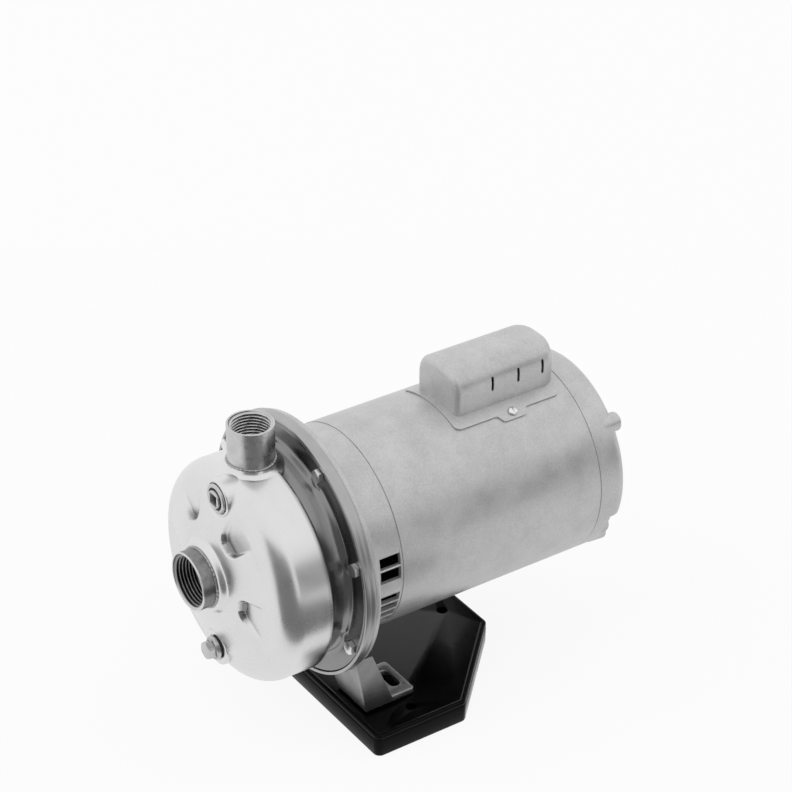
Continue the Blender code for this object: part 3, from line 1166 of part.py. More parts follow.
def build_rear_bell(line):
    """Rear end bell: cup with four lugs, bearing hub, switch posts, air slots and rim notches."""
    hub_inner = BEARING_RADIUS + GAP
    hub_outer = hub_inner + BEARING_HUB_WALL
    wall = REAR_BELL_WALL
    outer = SHELL_RADIUS
    hub_floor = REAR_BEARING_Y + BEARING_WIDTH + WAVE_SPRING_THICKNESS + 3.0 * GAP
    spigot = SHELL_INNER - GAP
    bend = REAR_CROWN_RADIUS
    crown = arc(outer - bend, REAR_FACE_Y - bend, bend, 0.0, 90.0, 3)
    hollow = arc(outer - bend, REAR_FACE_Y - bend, bend - wall, 90.0, 0.0, 2)
    hub_front = REAR_BEARING_Y - 0.0010
    hub_face = REAR_FACE_Y + REAR_HUB_RISE
    spigot_inner = spigot - 0.003
    spigot_end = SHELL_REAR_Y - BELL_SPIGOT
    bm = bmesh.new()
    turn(bm, [(spigot, SHELL_REAR_Y + GAP), (outer, SHELL_REAR_Y + GAP)] + crown
         + [(REAR_HUB_RADIUS, hub_face), (0.0, hub_face),
            (0.0, hub_floor), (hub_inner, hub_floor), (hub_inner, hub_front),
            (hub_outer, hub_front), (hub_outer, REAR_FACE_Y - wall)]
         + hollow + [(outer - wall, SHELL_REAR_Y + 0.004), (spigot_inner, SHELL_REAR_Y + 0.002),
                     (spigot_inner, spigot_end), (spigot, spigot_end)], ROUND)
    bell = make_object("rear_end_bell", bm, ((0.58, 0.58, 0.58), 1.0, 0.40), line)

    lugs = bmesh.new()
    drilled = bmesh.new()
    for angle in THROUGH_BOLT_ANGLES:
        frame = Matrix.Translation(polar(LUG_CIRCLE, angle, 0.0))
        turn(lugs, [(0.0, SHELL_REAR_Y + 0.006), (LUG_RADIUS, SHELL_REAR_Y + 0.014),
                    (LUG_RADIUS, REAR_LUG_Y - 0.0010), (LUG_RADIUS - 0.0010, REAR_LUG_Y),
                    (0.0, REAR_LUG_Y)], ROUND_SMALL, frame)
        frame = Matrix.Translation(polar(THROUGH_BOLT_CIRCLE, angle, 0.0))
        rod(drilled, THROUGH_BOLT_RADIUS + GAP, SHELL_REAR_Y - 0.02, REAR_LUG_Y + 0.01, ROUND_HOLE, frame)
    add(bell, make_tool("rear_bell_lugs_tool", lugs, line))
    posts = bmesh.new()
    for angle in (0.5 * math.pi, 1.5 * math.pi):
        frame = Matrix.Translation(polar(SWITCH_POST_CIRCLE, angle, 0.0))
        rod(posts, SWITCH_POST_RADIUS, SWITCH_Y + SWITCH_THICKNESS + GAP, REAR_FACE_Y - 0.5 * wall,
            ROUND_BOLT, frame)
    add(bell, make_tool("rear_bell_posts_tool", posts, line))
    inner_half = 0.5 * REAR_VENT_INNER_WIDTH
    outer_half = 0.5 * REAR_VENT_OUTER_WIDTH
    slot = round_corners([(-inner_half, REAR_VENT_INNER), (inner_half, REAR_VENT_INNER),
                          (outer_half, REAR_VENT_OUTER), (-outer_half, REAR_VENT_OUTER)],
                         REAR_VENT_CORNER, 1)
    for angle in REAR_VENT_ANGLES:
        frame = Matrix.Rotation(angle, 4, "Y")
        prism(drilled, slot, REAR_FACE_Y - 0.012, REAR_FACE_Y + 0.01, "Y", frame)
    for side in (1.0, -1.0):
        sector(drilled, outer + 0.004, outer - REAR_NOTCH_WIDTH, REAR_FACE_Y - REAR_NOTCH_DEPTH,
               REAR_FACE_Y + 0.01, side * REAR_NOTCH_START, side * REAR_NOTCH_END, 2)
    cut(bell, make_tool("rear_bell_drilling_tool", drilled, line))
    return bell


def build_through_bolts(line):
    """Long bolts that draw the two end bells onto the shell."""
    head_back = REAR_LUG_Y + GAP
    shank = THROUGH_BOLT_RADIUS
    hexagon = corner_radius(THROUGH_BOLT_HEAD_FLAT)
    front = head_back + THROUGH_BOLT_HEAD_HEIGHT
    bm = bmesh.new()
    turn(bm, [(0.0, THROUGH_BOLT_END_Y), (shank, THROUGH_BOLT_END_Y), (shank, head_back),
              (hexagon, head_back), (hexagon, front - 0.0006), (hexagon - 0.0006, front), (0.0, front)],
         ROUND_HEX)
    frames = [Matrix.Translation(polar(THROUGH_BOLT_CIRCLE, angle, 0.0)) for angle in THROUGH_BOLT_ANGLES]
    make_copies("through_bolt", bm, ((0.45, 0.45, 0.45), 1.0, 0.35), line, frames)


def build_bearing(line, prefix, front):
    """Deep-groove ball bearing: two grooved rings, and the balls held in their cage ring."""
    steel = ((0.62, 0.62, 0.62), 1.0, 0.18)
    middle = front + 0.5 * BEARING_WIDTH
    rear = front + BEARING_WIDTH
    shoulder_out = BALL_PITCH_RADIUS + BEARING_SHOULDER
    groove_out = BALL_PITCH_RADIUS + BALL_RADIUS + BALL_CLEARANCE
    shoulder_in = BALL_PITCH_RADIUS - BEARING_SHOULDER
    groove_in = BALL_PITCH_RADIUS - BALL_RADIUS - BALL_CLEARANCE
    bm = bmesh.new()
    turn(bm, [(BEARING_RADIUS, front), (BEARING_RADIUS, rear), (shoulder_out, rear),
              (groove_out, middle + 0.5 * BALL_RADIUS), (groove_out, middle - 0.5 * BALL_RADIUS),
              (shoulder_out, front)], ROUND_INNER)
    make_object(prefix + "_bearing_outer", bm, steel, line)
    bm = bmesh.new()
    bore = BEARING_BORE + GAP
    turn(bm, [(bore, front), (shoulder_in, front), (groove_in, middle - 0.5 * BALL_RADIUS),
              (groove_in, middle + 0.5 * BALL_RADIUS), (shoulder_in, rear), (bore, rear)], ROUND_INNER)
    make_object(prefix + "_bearing_inner", bm, steel, line)

    bm = bmesh.new()
    tube(bm, BALL_PITCH_RADIUS + CAGE_HALF_WALL, BALL_PITCH_RADIUS - CAGE_HALF_WALL,
         middle - CAGE_HALF_LENGTH, middle + CAGE_HALF_LENGTH, 2 * BALL_COUNT)
    ball_set = make_object(prefix + "_bearing_balls", bm, steel, line, (0.0, middle, 0.0))
    bm = bmesh.new()
    for number in range(BALL_COUNT):
        centre = polar(BALL_PITCH_RADIUS, TAU * number / BALL_COUNT, middle)
        bmesh.ops.create_uvsphere(bm, u_segments=6, v_segments=4, radius=BALL_RADIUS,
                                  matrix=Matrix.Translation(centre))
    add(ball_set, make_tool(prefix + "_balls_tool", bm, line))


def build_shaft(line):
    """Stepped shaft from the impeller thread to the rear bearing."""
    bearing = BEARING_BORE
    step = SHAFT_STEP_RADIUS
    front_shoulder = FRONT_BEARING_Y + BEARING_WIDTH + GAP
    rear_shoulder = REAR_BEARING_Y - GAP
    hub_front = IMPELLER_FRONT_Y - 0.0020
    bm = bmesh.new()
    turn(bm, [(0.0, SHAFT_FRONT_Y), (SHAFT_THREAD_RADIUS - 0.0008, SHAFT_FRONT_Y),
              (SHAFT_THREAD_RADIUS, SHAFT_FRONT_Y + 0.0008), (SHAFT_THREAD_RADIUS, hub_front),
              (SHAFT_HUB_RADIUS, hub_front), (SHAFT_HUB_RADIUS, IMPELLER_BACK_Y + GAP),
              (SHAFT_SEAL_RADIUS, IMPELLER_BACK_Y + GAP), (SHAFT_SEAL_RADIUS, FRONT_BEARING_Y - 0.001),
              (bearing, FRONT_BEARING_Y - 0.001), (bearing, front_shoulder), (step, front_shoulder),
              (step, CORE_FRONT_Y - 0.012), (SHAFT_CORE_RADIUS, CORE_FRONT_Y - 0.010),
              (SHAFT_CORE_RADIUS, CORE_REAR_Y + 0.010), (step, CORE_REAR_Y + 0.010),
              (step, rear_shoulder), (bearing, rear_shoulder), (bearing, SHAFT_REAR_Y),
              (0.0, SHAFT_REAR_Y)], ROUND_SMALL)
    make_object("shaft", bm, ((0.55, 0.55, 0.56), 1.0, 0.25), line)

    bm = bmesh.new()
    slinger_y = SEAL_PLATE_CUP_Y + 2.0 * GAP
    tube(bm, SLINGER_RADIUS, SHAFT_SEAL_RADIUS + GAP, slinger_y, slinger_y + SLINGER_THICKNESS,
         ROUND_SMALL)
    make_object("slinger", bm, ((0.02, 0.02, 0.02), 0.0, 0.6), line)


def build_rotor(line):
    """Laminated rotor core with its cast end rings."""
    bore = SHAFT_CORE_RADIUS + GAP
    rotor_radius = STATOR_BORE - AIR_GAP
    bm = bmesh.new()
    tube(bm, rotor_radius, bore, CORE_FRONT_Y, CORE_REAR_Y, ROUND_INNER)
    make_object("rotor_core", bm, ((0.35, 0.35, 0.36), 1.0, 0.4), line)
    ring = ((0.60, 0.60, 0.60), 1.0, 0.35)
    ring_radius = rotor_radius - END_RING_STEP
    front = CORE_FRONT_Y - GAP
    rear = CORE_REAR_Y + GAP
    bm = bmesh.new()
    tube(bm, ring_radius, END_RING_INNER, front - END_RING_LENGTH, front, ROUND_INNER)
    make_object("front_end_ring", bm, ring, line)
    bm = bmesh.new()
    tube(bm, ring_radius, END_RING_INNER, rear, rear + END_RING_LENGTH, ROUND_INNER)
    make_object("rear_end_ring", bm, ring, line)


def build_fan(line):
    """Cooling fan behind the front end bell."""
    bore = SHAFT_STEP_RADIUS + GAP
    hub = FAN_HUB_RADIUS
    rear = FAN_FRONT_Y + FAN_LENGTH
    bm = bmesh.new()
    turn(bm, [(bore, FAN_FRONT_Y), (hub, FAN_FRONT_Y), (hub, rear - 1.25 * FAN_DISC),
              (FAN_RADIUS, rear - FAN_DISC), (FAN_RADIUS, rear), (bore, rear)], ROUND_INNER)
    fan = make_object("cooling_fan", bm, ((0.03, 0.03, 0.03), 0.0, 0.5), line)
    blades = bmesh.new()
    half = 0.5 * FAN_BLADE_THICKNESS
    root = hub - FAN_DISC
    tip = FAN_RADIUS - 0.0005
    for number in range(FAN_BLADES):
        frame = Matrix.Rotation(TAU * number / FAN_BLADES, 4, "Y")
        prism(blades, [(-half, root), (half, root), (half, tip), (-half, tip)],
              FAN_FRONT_Y + 0.001, rear - 0.5 * FAN_DISC, "Y", frame)
    add(fan, make_tool("fan_blades_tool", blades, line))


def stator_radii(share):
    """Inner and outer radius of the stator core at a share of one turn."""
    slot = (share * STATOR_SLOTS) % 1.0
    inner = STATOR_BORE + (STATOR_SLOT_DEPTH if 0.25 < slot < 0.75 else 0.0)
    outer = inside_facets(SHELL_INNER, ROUND, share * TAU, GAP)
    for angle in THROUGH_BOLT_ANGLES:
        apart = abs((share * TAU - angle + math.pi) % TAU - math.pi)
        if apart < STATOR_NOTCH_HALF:
            outer = THROUGH_BOLT_CIRCLE - THROUGH_BOLT_RADIUS - STATOR_NOTCH_CLEARANCE
    return inner, outer


def build_stator(line):
    """Slotted stator core with a notch for each through bolt, and the two winding ends."""
    shares = []
    for slot in range(STATOR_SLOTS):
        for part in (0.249, 0.251, 0.749, 0.751):
            shares.append((slot + part) / STATOR_SLOTS)
    shares += [step / ROUND for step in range(ROUND)]
    notch = STATOR_NOTCH_HALF / TAU
    for angle in THROUGH_BOLT_ANGLES:
        for edge in (-notch - 0.0002, -notch + 0.0002, notch - 0.0002, notch + 0.0002):
            shares.append(angle / TAU + edge)
    shares.sort()
    bm = bmesh.new()
    rows = []
    for share in shares:
        inner, outer = stator_radii(share)
        angle = share * TAU
        rows.append([bm.verts.new(polar(inner, angle, CORE_FRONT_Y)),
                     bm.verts.new(polar(outer, angle, CORE_FRONT_Y)),
                     bm.verts.new(polar(outer, angle, CORE_REAR_Y)),
                     bm.verts.new(polar(inner, angle, CORE_REAR_Y))])
    for near, far in zip(rows, rows[1:] + rows[:1]):
        for corner in range(4):
            following = (corner + 1) % 4
            bm.faces.new((near[corner], near[following], far[following], far[corner]))
    make_object("stator_core", bm, ((0.30, 0.30, 0.32), 1.0, 0.45), line)

    copper = ((0.55, 0.20, 0.06), 1.0, 0.4)
    round_off = WINDING_ROUNDING
    for name, low, high in (("front_winding", CORE_FRONT_Y - GAP - WINDING_LENGTH, CORE_FRONT_Y - GAP),
                            ("rear_winding", CORE_REAR_Y + GAP, CORE_REAR_Y + GAP + WINDING_LENGTH)):
        bm = bmesh.new()
        turn(bm, [(WINDING_INNER + round_off, low), (WINDING_OUTER - round_off, low),
                  (WINDING_OUTER, low + round_off), (WINDING_OUTER, high - round_off),
                  (WINDING_OUTER - round_off, high), (WINDING_INNER + round_off, high),
                  (WINDING_INNER, high - round_off), (WINDING_INNER, low + round_off)], ROUND_INNER)
        make_object(name, bm, copper, line)


def build_switch(line):
    """Governor on the shaft, its sliding collar, and the switch board on the rear bell."""
    bore = SHAFT_STEP_RADIUS + GAP
    back = GOVERNOR_Y + GOVERNOR_THICKNESS
    tube_outer = bore + GOVERNOR_SLEEVE
    tube_end = back + COLLAR_TRAVEL + COLLAR_LENGTH
    bm = bmesh.new()
    turn(bm, [(SHAFT_CORE_RADIUS + 0.001, GOVERNOR_Y + 0.0005), (GOVERNOR_RADIUS, GOVERNOR_Y + 0.0020),
              (GOVERNOR_RADIUS, GOVERNOR_Y + 0.0035), (tube_outer, back), (tube_outer, tube_end),
              (bore, tube_end), (bore, GOVERNOR_Y + 0.0005)], ROUND_INNER)
    make_object("governor_plate", bm, ((0.50, 0.50, 0.50), 1.0, 0.35), line)

    sleeve = tube_outer + GAP
    start = back + COLLAR_TRAVEL + GAP
    bm = bmesh.new()
    turn(bm, [(sleeve, start), (COLLAR_RADIUS - 0.006, start), (COLLAR_RADIUS - 0.006, start + 0.004),
              (COLLAR_RADIUS, start + 0.005), (COLLAR_RADIUS, start + COLLAR_LENGTH),
              (sleeve, start + COLLAR_LENGTH)], ROUND_INNER)
    make_object("governor_collar", bm, ((0.35, 0.18, 0.08), 0.0, 0.45), line,
                (0.0, start, 0.0))

    bm = bmesh.new()
    tube(bm, SWITCH_OUTER, SWITCH_INNER, SWITCH_Y, SWITCH_Y + SWITCH_THICKNESS, ROUND_INNER)
    make_object("start_switch", bm, ((0.25, 0.13, 0.06), 0.0, 0.5), line)

    bm = bmesh.new()
    rear = REAR_BEARING_Y + BEARING_WIDTH + GAP
    ring = BEARING_RADIUS - GAP
    tube(bm, ring, ring - WAVE_SPRING_WIDTH, rear, rear + WAVE_SPRING_THICKNESS, ROUND_INNER)
    make_object("wave_spring", bm, ((0.55, 0.55, 0.55), 1.0, 0.3), line)


def cover_outline(inset):
    """Cross-section of the capacitor cover's body, as x and z."""
    half = COVER_HALF_WIDTH - inset
    top = COVER_TOP_Z - inset
    radius = COVER_SHOULDER - inset
    right = arc(half - radius, top - radius, radius, 0.0, 90.0, 4)
    left = arc(radius - half, top - radius, radius, 90.0, 180.0, 4)
    low = SHELL_RADIUS * 0.93
    return [(-half, low), (half, low)] + right + left


def cover_body(bm, inset, front, rear):
    """The drawn box of the cover, with its two ends rounded over."""
    front_steps = arc(COVER_FRONT_ROUNDING, COVER_FRONT_ROUNDING, COVER_FRONT_ROUNDING, 270.0, 180.0, 2)
    rear_steps = arc(COVER_REAR_ROUNDING, COVER_REAR_ROUNDING, COVER_REAR_ROUNDING, 180.0, 270.0, 2)
    sections = [(front + along, inset + inwards) for inwards, along in front_steps]
    sections += [(rear - along, inset + inwards) for inwards, along in rear_steps]
    loops = []
    for y, narrow in sections:
        outline = cover_outline(narrow)
        loops.append([bm.verts.new((x, y, z)) for x, z in outline])
    for near, far in zip(loops, loops[1:]):
        for step in range(len(near)):
            following = (step + 1) % len(near)
            bm.faces.new((near[step], near[following], far[following], far[step]))
    bm.faces.new(loops[0])
    bm.faces.new(loops[-1])


def build_cover(line):
    """Drawn capacitor cover on its saddle flange, the capacitor inside and two screws."""
    seat = SHELL_RADIUS + GAP
    outer = seat + COVER_SHEET
    bm = bmesh.new()
    cover_body(bm, 0.0, COVER_BODY_FRONT_Y, COVER_BODY_REAR_Y)
    cover = make_object("capacitor_cover", bm, ((0.55, 0.55, 0.55), 0.0, 0.35), line)

    bm = bmesh.new()
    sector(bm, outer, seat - 0.001, COVER_FRONT_Y, COVER_REAR_Y, -COVER_FLANGE_ANGLE,
           COVER_FLANGE_ANGLE, 8)
    add(cover, make_tool("cover_flange_tool", bm, line))
    bm = bmesh.new()
    for side in (-1.0, 1.0):
        sector(bm, outer, seat - 0.001, COVER_TAB_FRONT_Y, COVER_TAB_REAR_Y,
               side * (COVER_FLANGE_ANGLE - 0.05), side * COVER_TAB_ANGLE, 2)
    add(cover, make_tool("cover_tabs_tool", bm, line))

    bm = bmesh.new()
    cover_body(bm, COVER_SHEET, COVER_BODY_FRONT_Y + COVER_SHEET, COVER_BODY_REAR_Y - COVER_SHEET)
    bmesh.ops.translate(bm, vec=(0.0, 0.0, -0.004), verts=[v for v in bm.verts if v.co.z < SHELL_RADIUS])
    cut(cover, make_tool("cover_hollow_tool", bm, line))
    bm = bmesh.new()
    rod(bm, seat, COVER_FRONT_Y - 0.01, COVER_REAR_Y + 0.01, 2 * ROUND)
    cut(cover, make_tool("cover_seat_tool", bm, line))

    bm = bmesh.new()
    slot_low = COVER_SLOT_LOW_Z
    slot_high = COVER_SLOT_HIGH_Z
    for y in COVER_SLOT_Y:
        half = 0.5 * COVER_SLOT_WIDTH
        outline = [(y - half, slot_low), (y + half, slot_low), (y + half, slot_high), (y - half, slot_high)]
        for side in (-1.0, 1.0):
            prism(bm, outline, side * (COVER_HALF_WIDTH - COVER_SHEET - 0.002), side * 0.03, "X")
    for side in (-1.0, 1.0):
        angle = side * COVER_SCREW_ANGLE
        frame = axis_frame(polar(outer, angle, COVER_SCREW_Y), polar(1.0, angle, 0.0))
        rod(bm, COVER_SCREW_RADIUS + GAP, -0.004, 0.002, ROUND_BOLT, frame)
    cut(cover, make_tool("cover_holes_tool", bm, line))

    low = GAP
    high = low + COVER_SCREW_HEAD_HEIGHT
    bm = bmesh.new()
    turn(bm, [(0.0, -COVER_SCREW_LENGTH), (COVER_SCREW_RADIUS, -COVER_SCREW_LENGTH),
              (COVER_SCREW_RADIUS, low), (COVER_SCREW_HEAD, low),
              (COVER_SCREW_HEAD - 0.0004, high - 0.0008),
              (COVER_SCREW_HEAD - 0.0012, high), (0.0, high)], ROUND_BOLT)
    frames = [axis_frame(polar(outer, side * COVER_SCREW_ANGLE, COVER_SCREW_Y),
                         polar(1.0, side * COVER_SCREW_ANGLE, 0.0)) for side in (-1.0, 1.0)]
    make_copies("cover_screw", bm, ((0.45, 0.45, 0.45), 1.0, 0.3), line, frames)

    bm = bmesh.new()
    middle = 0.5 * (COVER_BODY_FRONT_Y + COVER_BODY_REAR_Y)
    rest = SHELL_RADIUS + GAP + CAPACITOR_RADIUS
    frame = Matrix.Translation(Vector((0.0, 0.0, rest)))
    half = 0.5 * CAPACITOR_LENGTH
    turn(bm, [(0.0, middle - half), (CAPACITOR_RADIUS - 0.0010, middle - half),
              (CAPACITOR_RADIUS, middle - half + 0.0010), (CAPACITOR_RADIUS, middle + half - 0.0010),
              (CAPACITOR_RADIUS - 0.0010, middle + half), (0.0, middle + half)], ROUND_SMALL, frame)
    make_object("capacitor", bm, ((0.02, 0.02, 0.02), 0.0, 0.4), line)


def main():
    clear_scene()
    line = make_empty("shaft_line", (0.0, JOINT_FACE_Y, SHAFT_HEIGHT))
    build_base()
    build_foot_screws()
    build_adapter(line)
    build_casing(line)
    build_ports(line)
    build_plugs(line)
    build_casing_bolts(line)
    build_seal_plate(line)
    build_rotating_seal(line)
    build_impeller(line)
    build_eye(line)
    build_front_bell(line)
    build_shell(line)
    build_rear_bell(line)
    build_through_bolts(line)
    build_bearing(line, "front", FRONT_BEARING_Y)
    build_bearing(line, "rear", REAR_BEARING_Y)
    build_shaft(line)
    build_rotor(line)
    build_fan(line)
    build_stator(line)
    build_switch(line)
    build_cover(line)


main()
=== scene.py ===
"""Studio picture of a close-coupled centrifugal pump with a stainless casing and a grey motor."""

import math

import bmesh
import bpy
from mathutils import Matrix, Vector


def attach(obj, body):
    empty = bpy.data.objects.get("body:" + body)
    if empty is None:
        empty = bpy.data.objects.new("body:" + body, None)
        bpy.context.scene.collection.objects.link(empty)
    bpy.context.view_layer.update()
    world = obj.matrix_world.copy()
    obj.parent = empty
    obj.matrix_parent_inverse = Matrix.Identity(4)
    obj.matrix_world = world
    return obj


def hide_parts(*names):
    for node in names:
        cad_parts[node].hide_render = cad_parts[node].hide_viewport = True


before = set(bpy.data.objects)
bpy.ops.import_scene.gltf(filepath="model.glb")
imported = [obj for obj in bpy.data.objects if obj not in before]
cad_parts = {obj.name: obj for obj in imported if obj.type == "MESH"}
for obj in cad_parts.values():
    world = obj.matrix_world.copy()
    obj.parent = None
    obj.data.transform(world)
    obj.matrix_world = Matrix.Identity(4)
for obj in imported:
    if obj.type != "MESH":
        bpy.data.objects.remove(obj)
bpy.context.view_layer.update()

scene = bpy.context.scene


# The studio: one camera on a long lens, looking down on the suction side from the right.
# The pump stands on a pale sweep that runs out to white, under soft boxes and beside grey cards.

CAMERA_AZIMUTH = math.radians(55.304)
CAMERA_ELEVATION = math.radians(34.056)
CAMERA_ROLL = math.radians(0.656)
CAMERA_DISTANCE = 2.0077
CAMERA_AIM = Vector((0.0, 0.0014, 0.1425))

back = Vector((math.cos(CAMERA_ELEVATION) * math.sin(CAMERA_AZIMUTH),
               -math.cos(CAMERA_ELEVATION) * math.cos(CAMERA_AZIMUTH),
               math.sin(CAMERA_ELEVATION)))
right = Vector((math.cos(CAMERA_AZIMUTH), math.sin(CAMERA_AZIMUTH), 0.0))
upward = back.cross(right)
lens = bpy.data.cameras.new("studio_lens")
lens.sensor_width = 36.0
lens.lens = 115.63
lens.shift_x = 0.0127
lens.shift_y = 0.1411
lens.clip_end = 50.0
camera = bpy.data.objects.new("studio_camera", lens)
axes = Matrix((right, upward, back)).transposed().to_4x4()
camera.matrix_world = (Matrix.Translation(CAMERA_AIM + back * CAMERA_DISTANCE) @ axes
                       @ Matrix.Rotation(CAMERA_ROLL, 4, "Z"))
scene.collection.objects.link(camera)
scene.camera = camera
scene.view_settings.view_transform = "Standard"


def hex_colour(code):
    """An sRGB hex colour as the linear values that the shaders read."""
    values = [int(code[start:start + 2], 16) / 255.0 for start in (1, 3, 5)]
    linear = [v / 12.92 if v <= 0.04045 else ((v + 0.055) / 1.055) ** 2.4 for v in values]
    return (*linear, 1.0)


def add(tree, kind, settings, inputs):
    """One shader node with its settings; an input is either a value or another node's output."""
    made = tree.nodes.new("ShaderNode" + kind)
    for key, value in settings.items():
        setattr(made, key, value)
    for key, value in inputs.items():
        if isinstance(value, bpy.types.NodeSocket):
            tree.links.new(value, made.inputs[key])
        else:
            made.inputs[key].default_value = value
    return made


def white_for_camera_and_gloss(tree):
    """1 for rays from the lens, off metal or through glass, 0 for the light that falls on things."""
    rays = add(tree, "LightPath", {}, {})
    gloss = add(tree, "Math", {"operation": "MAXIMUM"},
                {0: rays.outputs["Is Glossy Ray"], 1: rays.outputs["Is Transmission Ray"]})
    return add(tree, "Math", {"operation": "MAXIMUM"},
               {0: rays.outputs["Is Camera Ray"], 1: gloss.outputs[0]}).outputs[0]


world = bpy.data.worlds.new("studio_white")
world.use_nodes = True
tree = world.node_tree
tree.nodes.clear()
seen = add(tree, "Background", {}, {"Color": (1.0, 1.0, 1.0, 1.0), "Strength": 1.0})
fill = add(tree, "Background", {}, {"Color": (1.0, 1.0, 1.0, 1.0), "Strength": 0.50})
mixed = add(tree, "MixShader", {},
            {0: white_for_camera_and_gloss(tree), 1: fill.outputs[0], 2: seen.outputs[0]})
add(tree, "OutputWorld", {}, {"Surface": mixed.outputs[0]})
scene.world = world

sweep_paper = bpy.data.materials.new("matt_white_sweep_paper")
sweep_paper.use_nodes = True
tree = sweep_paper.node_tree
tree.nodes.clear()
paper = add(tree, "BsdfDiffuse", {}, {"Color": hex_colour("#F3F3F3"), "Roughness": 1.0})
glow = add(tree, "Emission", {}, {"Color": (1.0, 1.0, 1.0, 1.0), "Strength": 1.0})
share = add(tree, "Math", {"operation": "MULTIPLY"}, {0: white_for_camera_and_gloss(tree), 1: 0.90})
mixed = add(tree, "MixShader", {}, {0: share.outputs[0], 1: paper.outputs[0], 2: glow.outputs[0]})
add(tree, "OutputMaterial", {}, {"Surface": mixed.outputs[0]})

bm = bmesh.new()
SWEEP = 6.0
bm.faces.new([bm.verts.new((x * SWEEP, y * SWEEP, -0.0004))
              for x, y in ((-1.0, -1.0), (1.0, -1.0), (1.0, 1.0), (-1.0, 1.0))])
mesh = bpy.data.meshes.new("sweep")
bm.to_mesh(mesh)
bm.free()
sweep = bpy.data.objects.new("sweep", mesh)
mesh.materials.append(sweep_paper)
scene.collection.objects.link(sweep)

# Each lamp: its place, its width, its power in watts and whether bright metal mirrors it.
SOFT_BOXES = [
    ("key_soft_box", (-0.9, -1.5, 1.9), 3.2, 24.0, False),
    ("overhead_soft_box", (0.1, 1.0, 2.1), 2.8, 12.0, False),
    ("overhead_glint_box", (0.1, 1.0, 2.1), 2.4, 8.0, True),
    ("side_soft_box", (2.0, -0.6, 1.5), 1.8, 4.0, False),
]
for name, place, width, power, mirrored in SOFT_BOXES:
    lamp = bpy.data.lights.new(name, "AREA")
    lamp.shape = "DISK"
    lamp.size = width
    lamp.energy = power
    stand = bpy.data.objects.new(name, lamp)
    stand.visible_glossy = mirrored
    aim = CAMERA_AIM - Vector(place)
    stand.matrix_world = Matrix.Translation(Vector(place)) @ aim.to_track_quat("-Z", "Y").to_matrix().to_4x4()
    scene.collection.objects.link(stand)

# Grey cards stand out of the picture. Only the bright metal mirrors them, as dark bands along its bends.
grey_card = bpy.data.materials.new("matt_grey_card")
grey_card.use_nodes = True
tree = grey_card.node_tree
tree.nodes.clear()
card = add(tree, "Emission", {}, {"Color": hex_colour("#7E7E7E"), "Strength": 1.0})
add(tree, "OutputMaterial", {}, {"Surface": card.outputs[0]})

# Each card: its corners.
GREY_CARDS = [
    ("card_on_the_floor", [(0.17, -0.36, 0.002), (0.35, -1.0, 0.002), (1.3, -0.4, 0.002),
                           (0.9, 0.2, 0.002), (0.20, 0.10, 0.002)]),
    ("card_beside_the_lens", [(0.40, -0.95, 0.002), (1.15, -0.10, 0.002), (1.15, -0.10, 0.85),
                              (0.40, -0.95, 0.85)]),
    ("card_at_the_side", [(1.5, 0.35, -0.0002), (0.9, 1.6, -0.0002), (0.9, 1.6, 0.75), (1.5, 0.35, 0.75)]),
]
for name, corners in GREY_CARDS:
    bm = bmesh.new()
    bm.faces.new([bm.verts.new(corner) for corner in corners])
    mesh = bpy.data.meshes.new(name)
    bm.to_mesh(mesh)
    bm.free()
    mesh.materials.append(grey_card)
    held = bpy.data.objects.new(name, mesh)
    held.visible_camera = False
    held.visible_diffuse = False
    held.visible_transmission = False
    held.visible_shadow = False
    scene.collection.objects.link(held)


# The base: a moulded slab of black phenolic with a bead round its top edge and a shadow line
# under the bead. Two rear corners are cut off at 45 degrees; three floor bolts go through it.

BASE_HEIGHT = 0.0200
GAP = 0.0003                    # between pieces that rest on each other
BASE_HALF_WIDTH = 0.1100
BASE_HALF_LENGTH = 0.0800
BASE_CHAMFER = 0.0765
BASE_CORNER = 0.0060
BASE_HOLE = 0.0045
BASE_HOLES = [(0.090, -0.035), (-0.090, -0.035), (0.0, 0.059)]
SHAFT = Vector((0.0, -0.0800, 0.1425))


def round_corners(corners, radius, steps):
    """An anticlockwise outline with every corner turned into an arc."""
    points = []
    count = len(corners)
    for number, corner in enumerate(corners):
        here = Vector(corner)
        before = (Vector(corners[number - 1]) - here).normalized()
        after = (Vector(corners[(number + 1) % count]) - here).normalized()
        half = before.angle(after) / 2.0
        centre = here + (before + after).normalized() * (radius / math.sin(half))
        start = here + before * (radius / math.tan(half)) - centre
        for step in range(steps + 1):
            points.append(centre + Matrix.Rotation((math.pi - 2.0 * half) * step / steps, 2) @ start)
    return points


def bridge(bm, loops, closed=False, cap=False):
    """Faces between loops of equal length, in order; closed joins the last to the first."""
    pairs = list(zip(loops, loops[1:]))
    if closed:
        pairs.append((loops[-1], loops[0]))
    for near, far in pairs:
        count = len(near)
        for step in range(count):
            following = (step + 1) % count
            bm.faces.new((near[step], near[following], far[following], far[step]))
    if cap:
        bm.faces.new(loops[0])
        bm.faces.new(loops[-1])


def rod(bm, place, radius, low, high, segments=32):
    """A plain rod along the Y axis of its place."""
    loops = []
    for height in (low, high):
        loops.append([bm.verts.new(place @ Vector((radius * math.sin(math.tau * step / segments), height,
                                                   radius * math.cos(math.tau * step / segments))))
                      for step in range(segments)])
    bridge(bm, loops, cap=True)


def make_mesh_object(name, bm, sharp=35.0, location=(0.0, 0.0, 0.0)):
    """The finished mesh as an object, smooth except at edges sharper than the angle."""
    bmesh.ops.recalc_face_normals(bm, faces=bm.faces[:])
    mesh = bpy.data.meshes.new(name)
    bm.to_mesh(mesh)
    bm.free()
    mesh.shade_smooth()
    mesh.set_sharp_from_angle(angle=math.radians(sharp))
    made = bpy.data.objects.new(name, mesh)
    made.location = location
    scene.collection.objects.link(made)
    return made


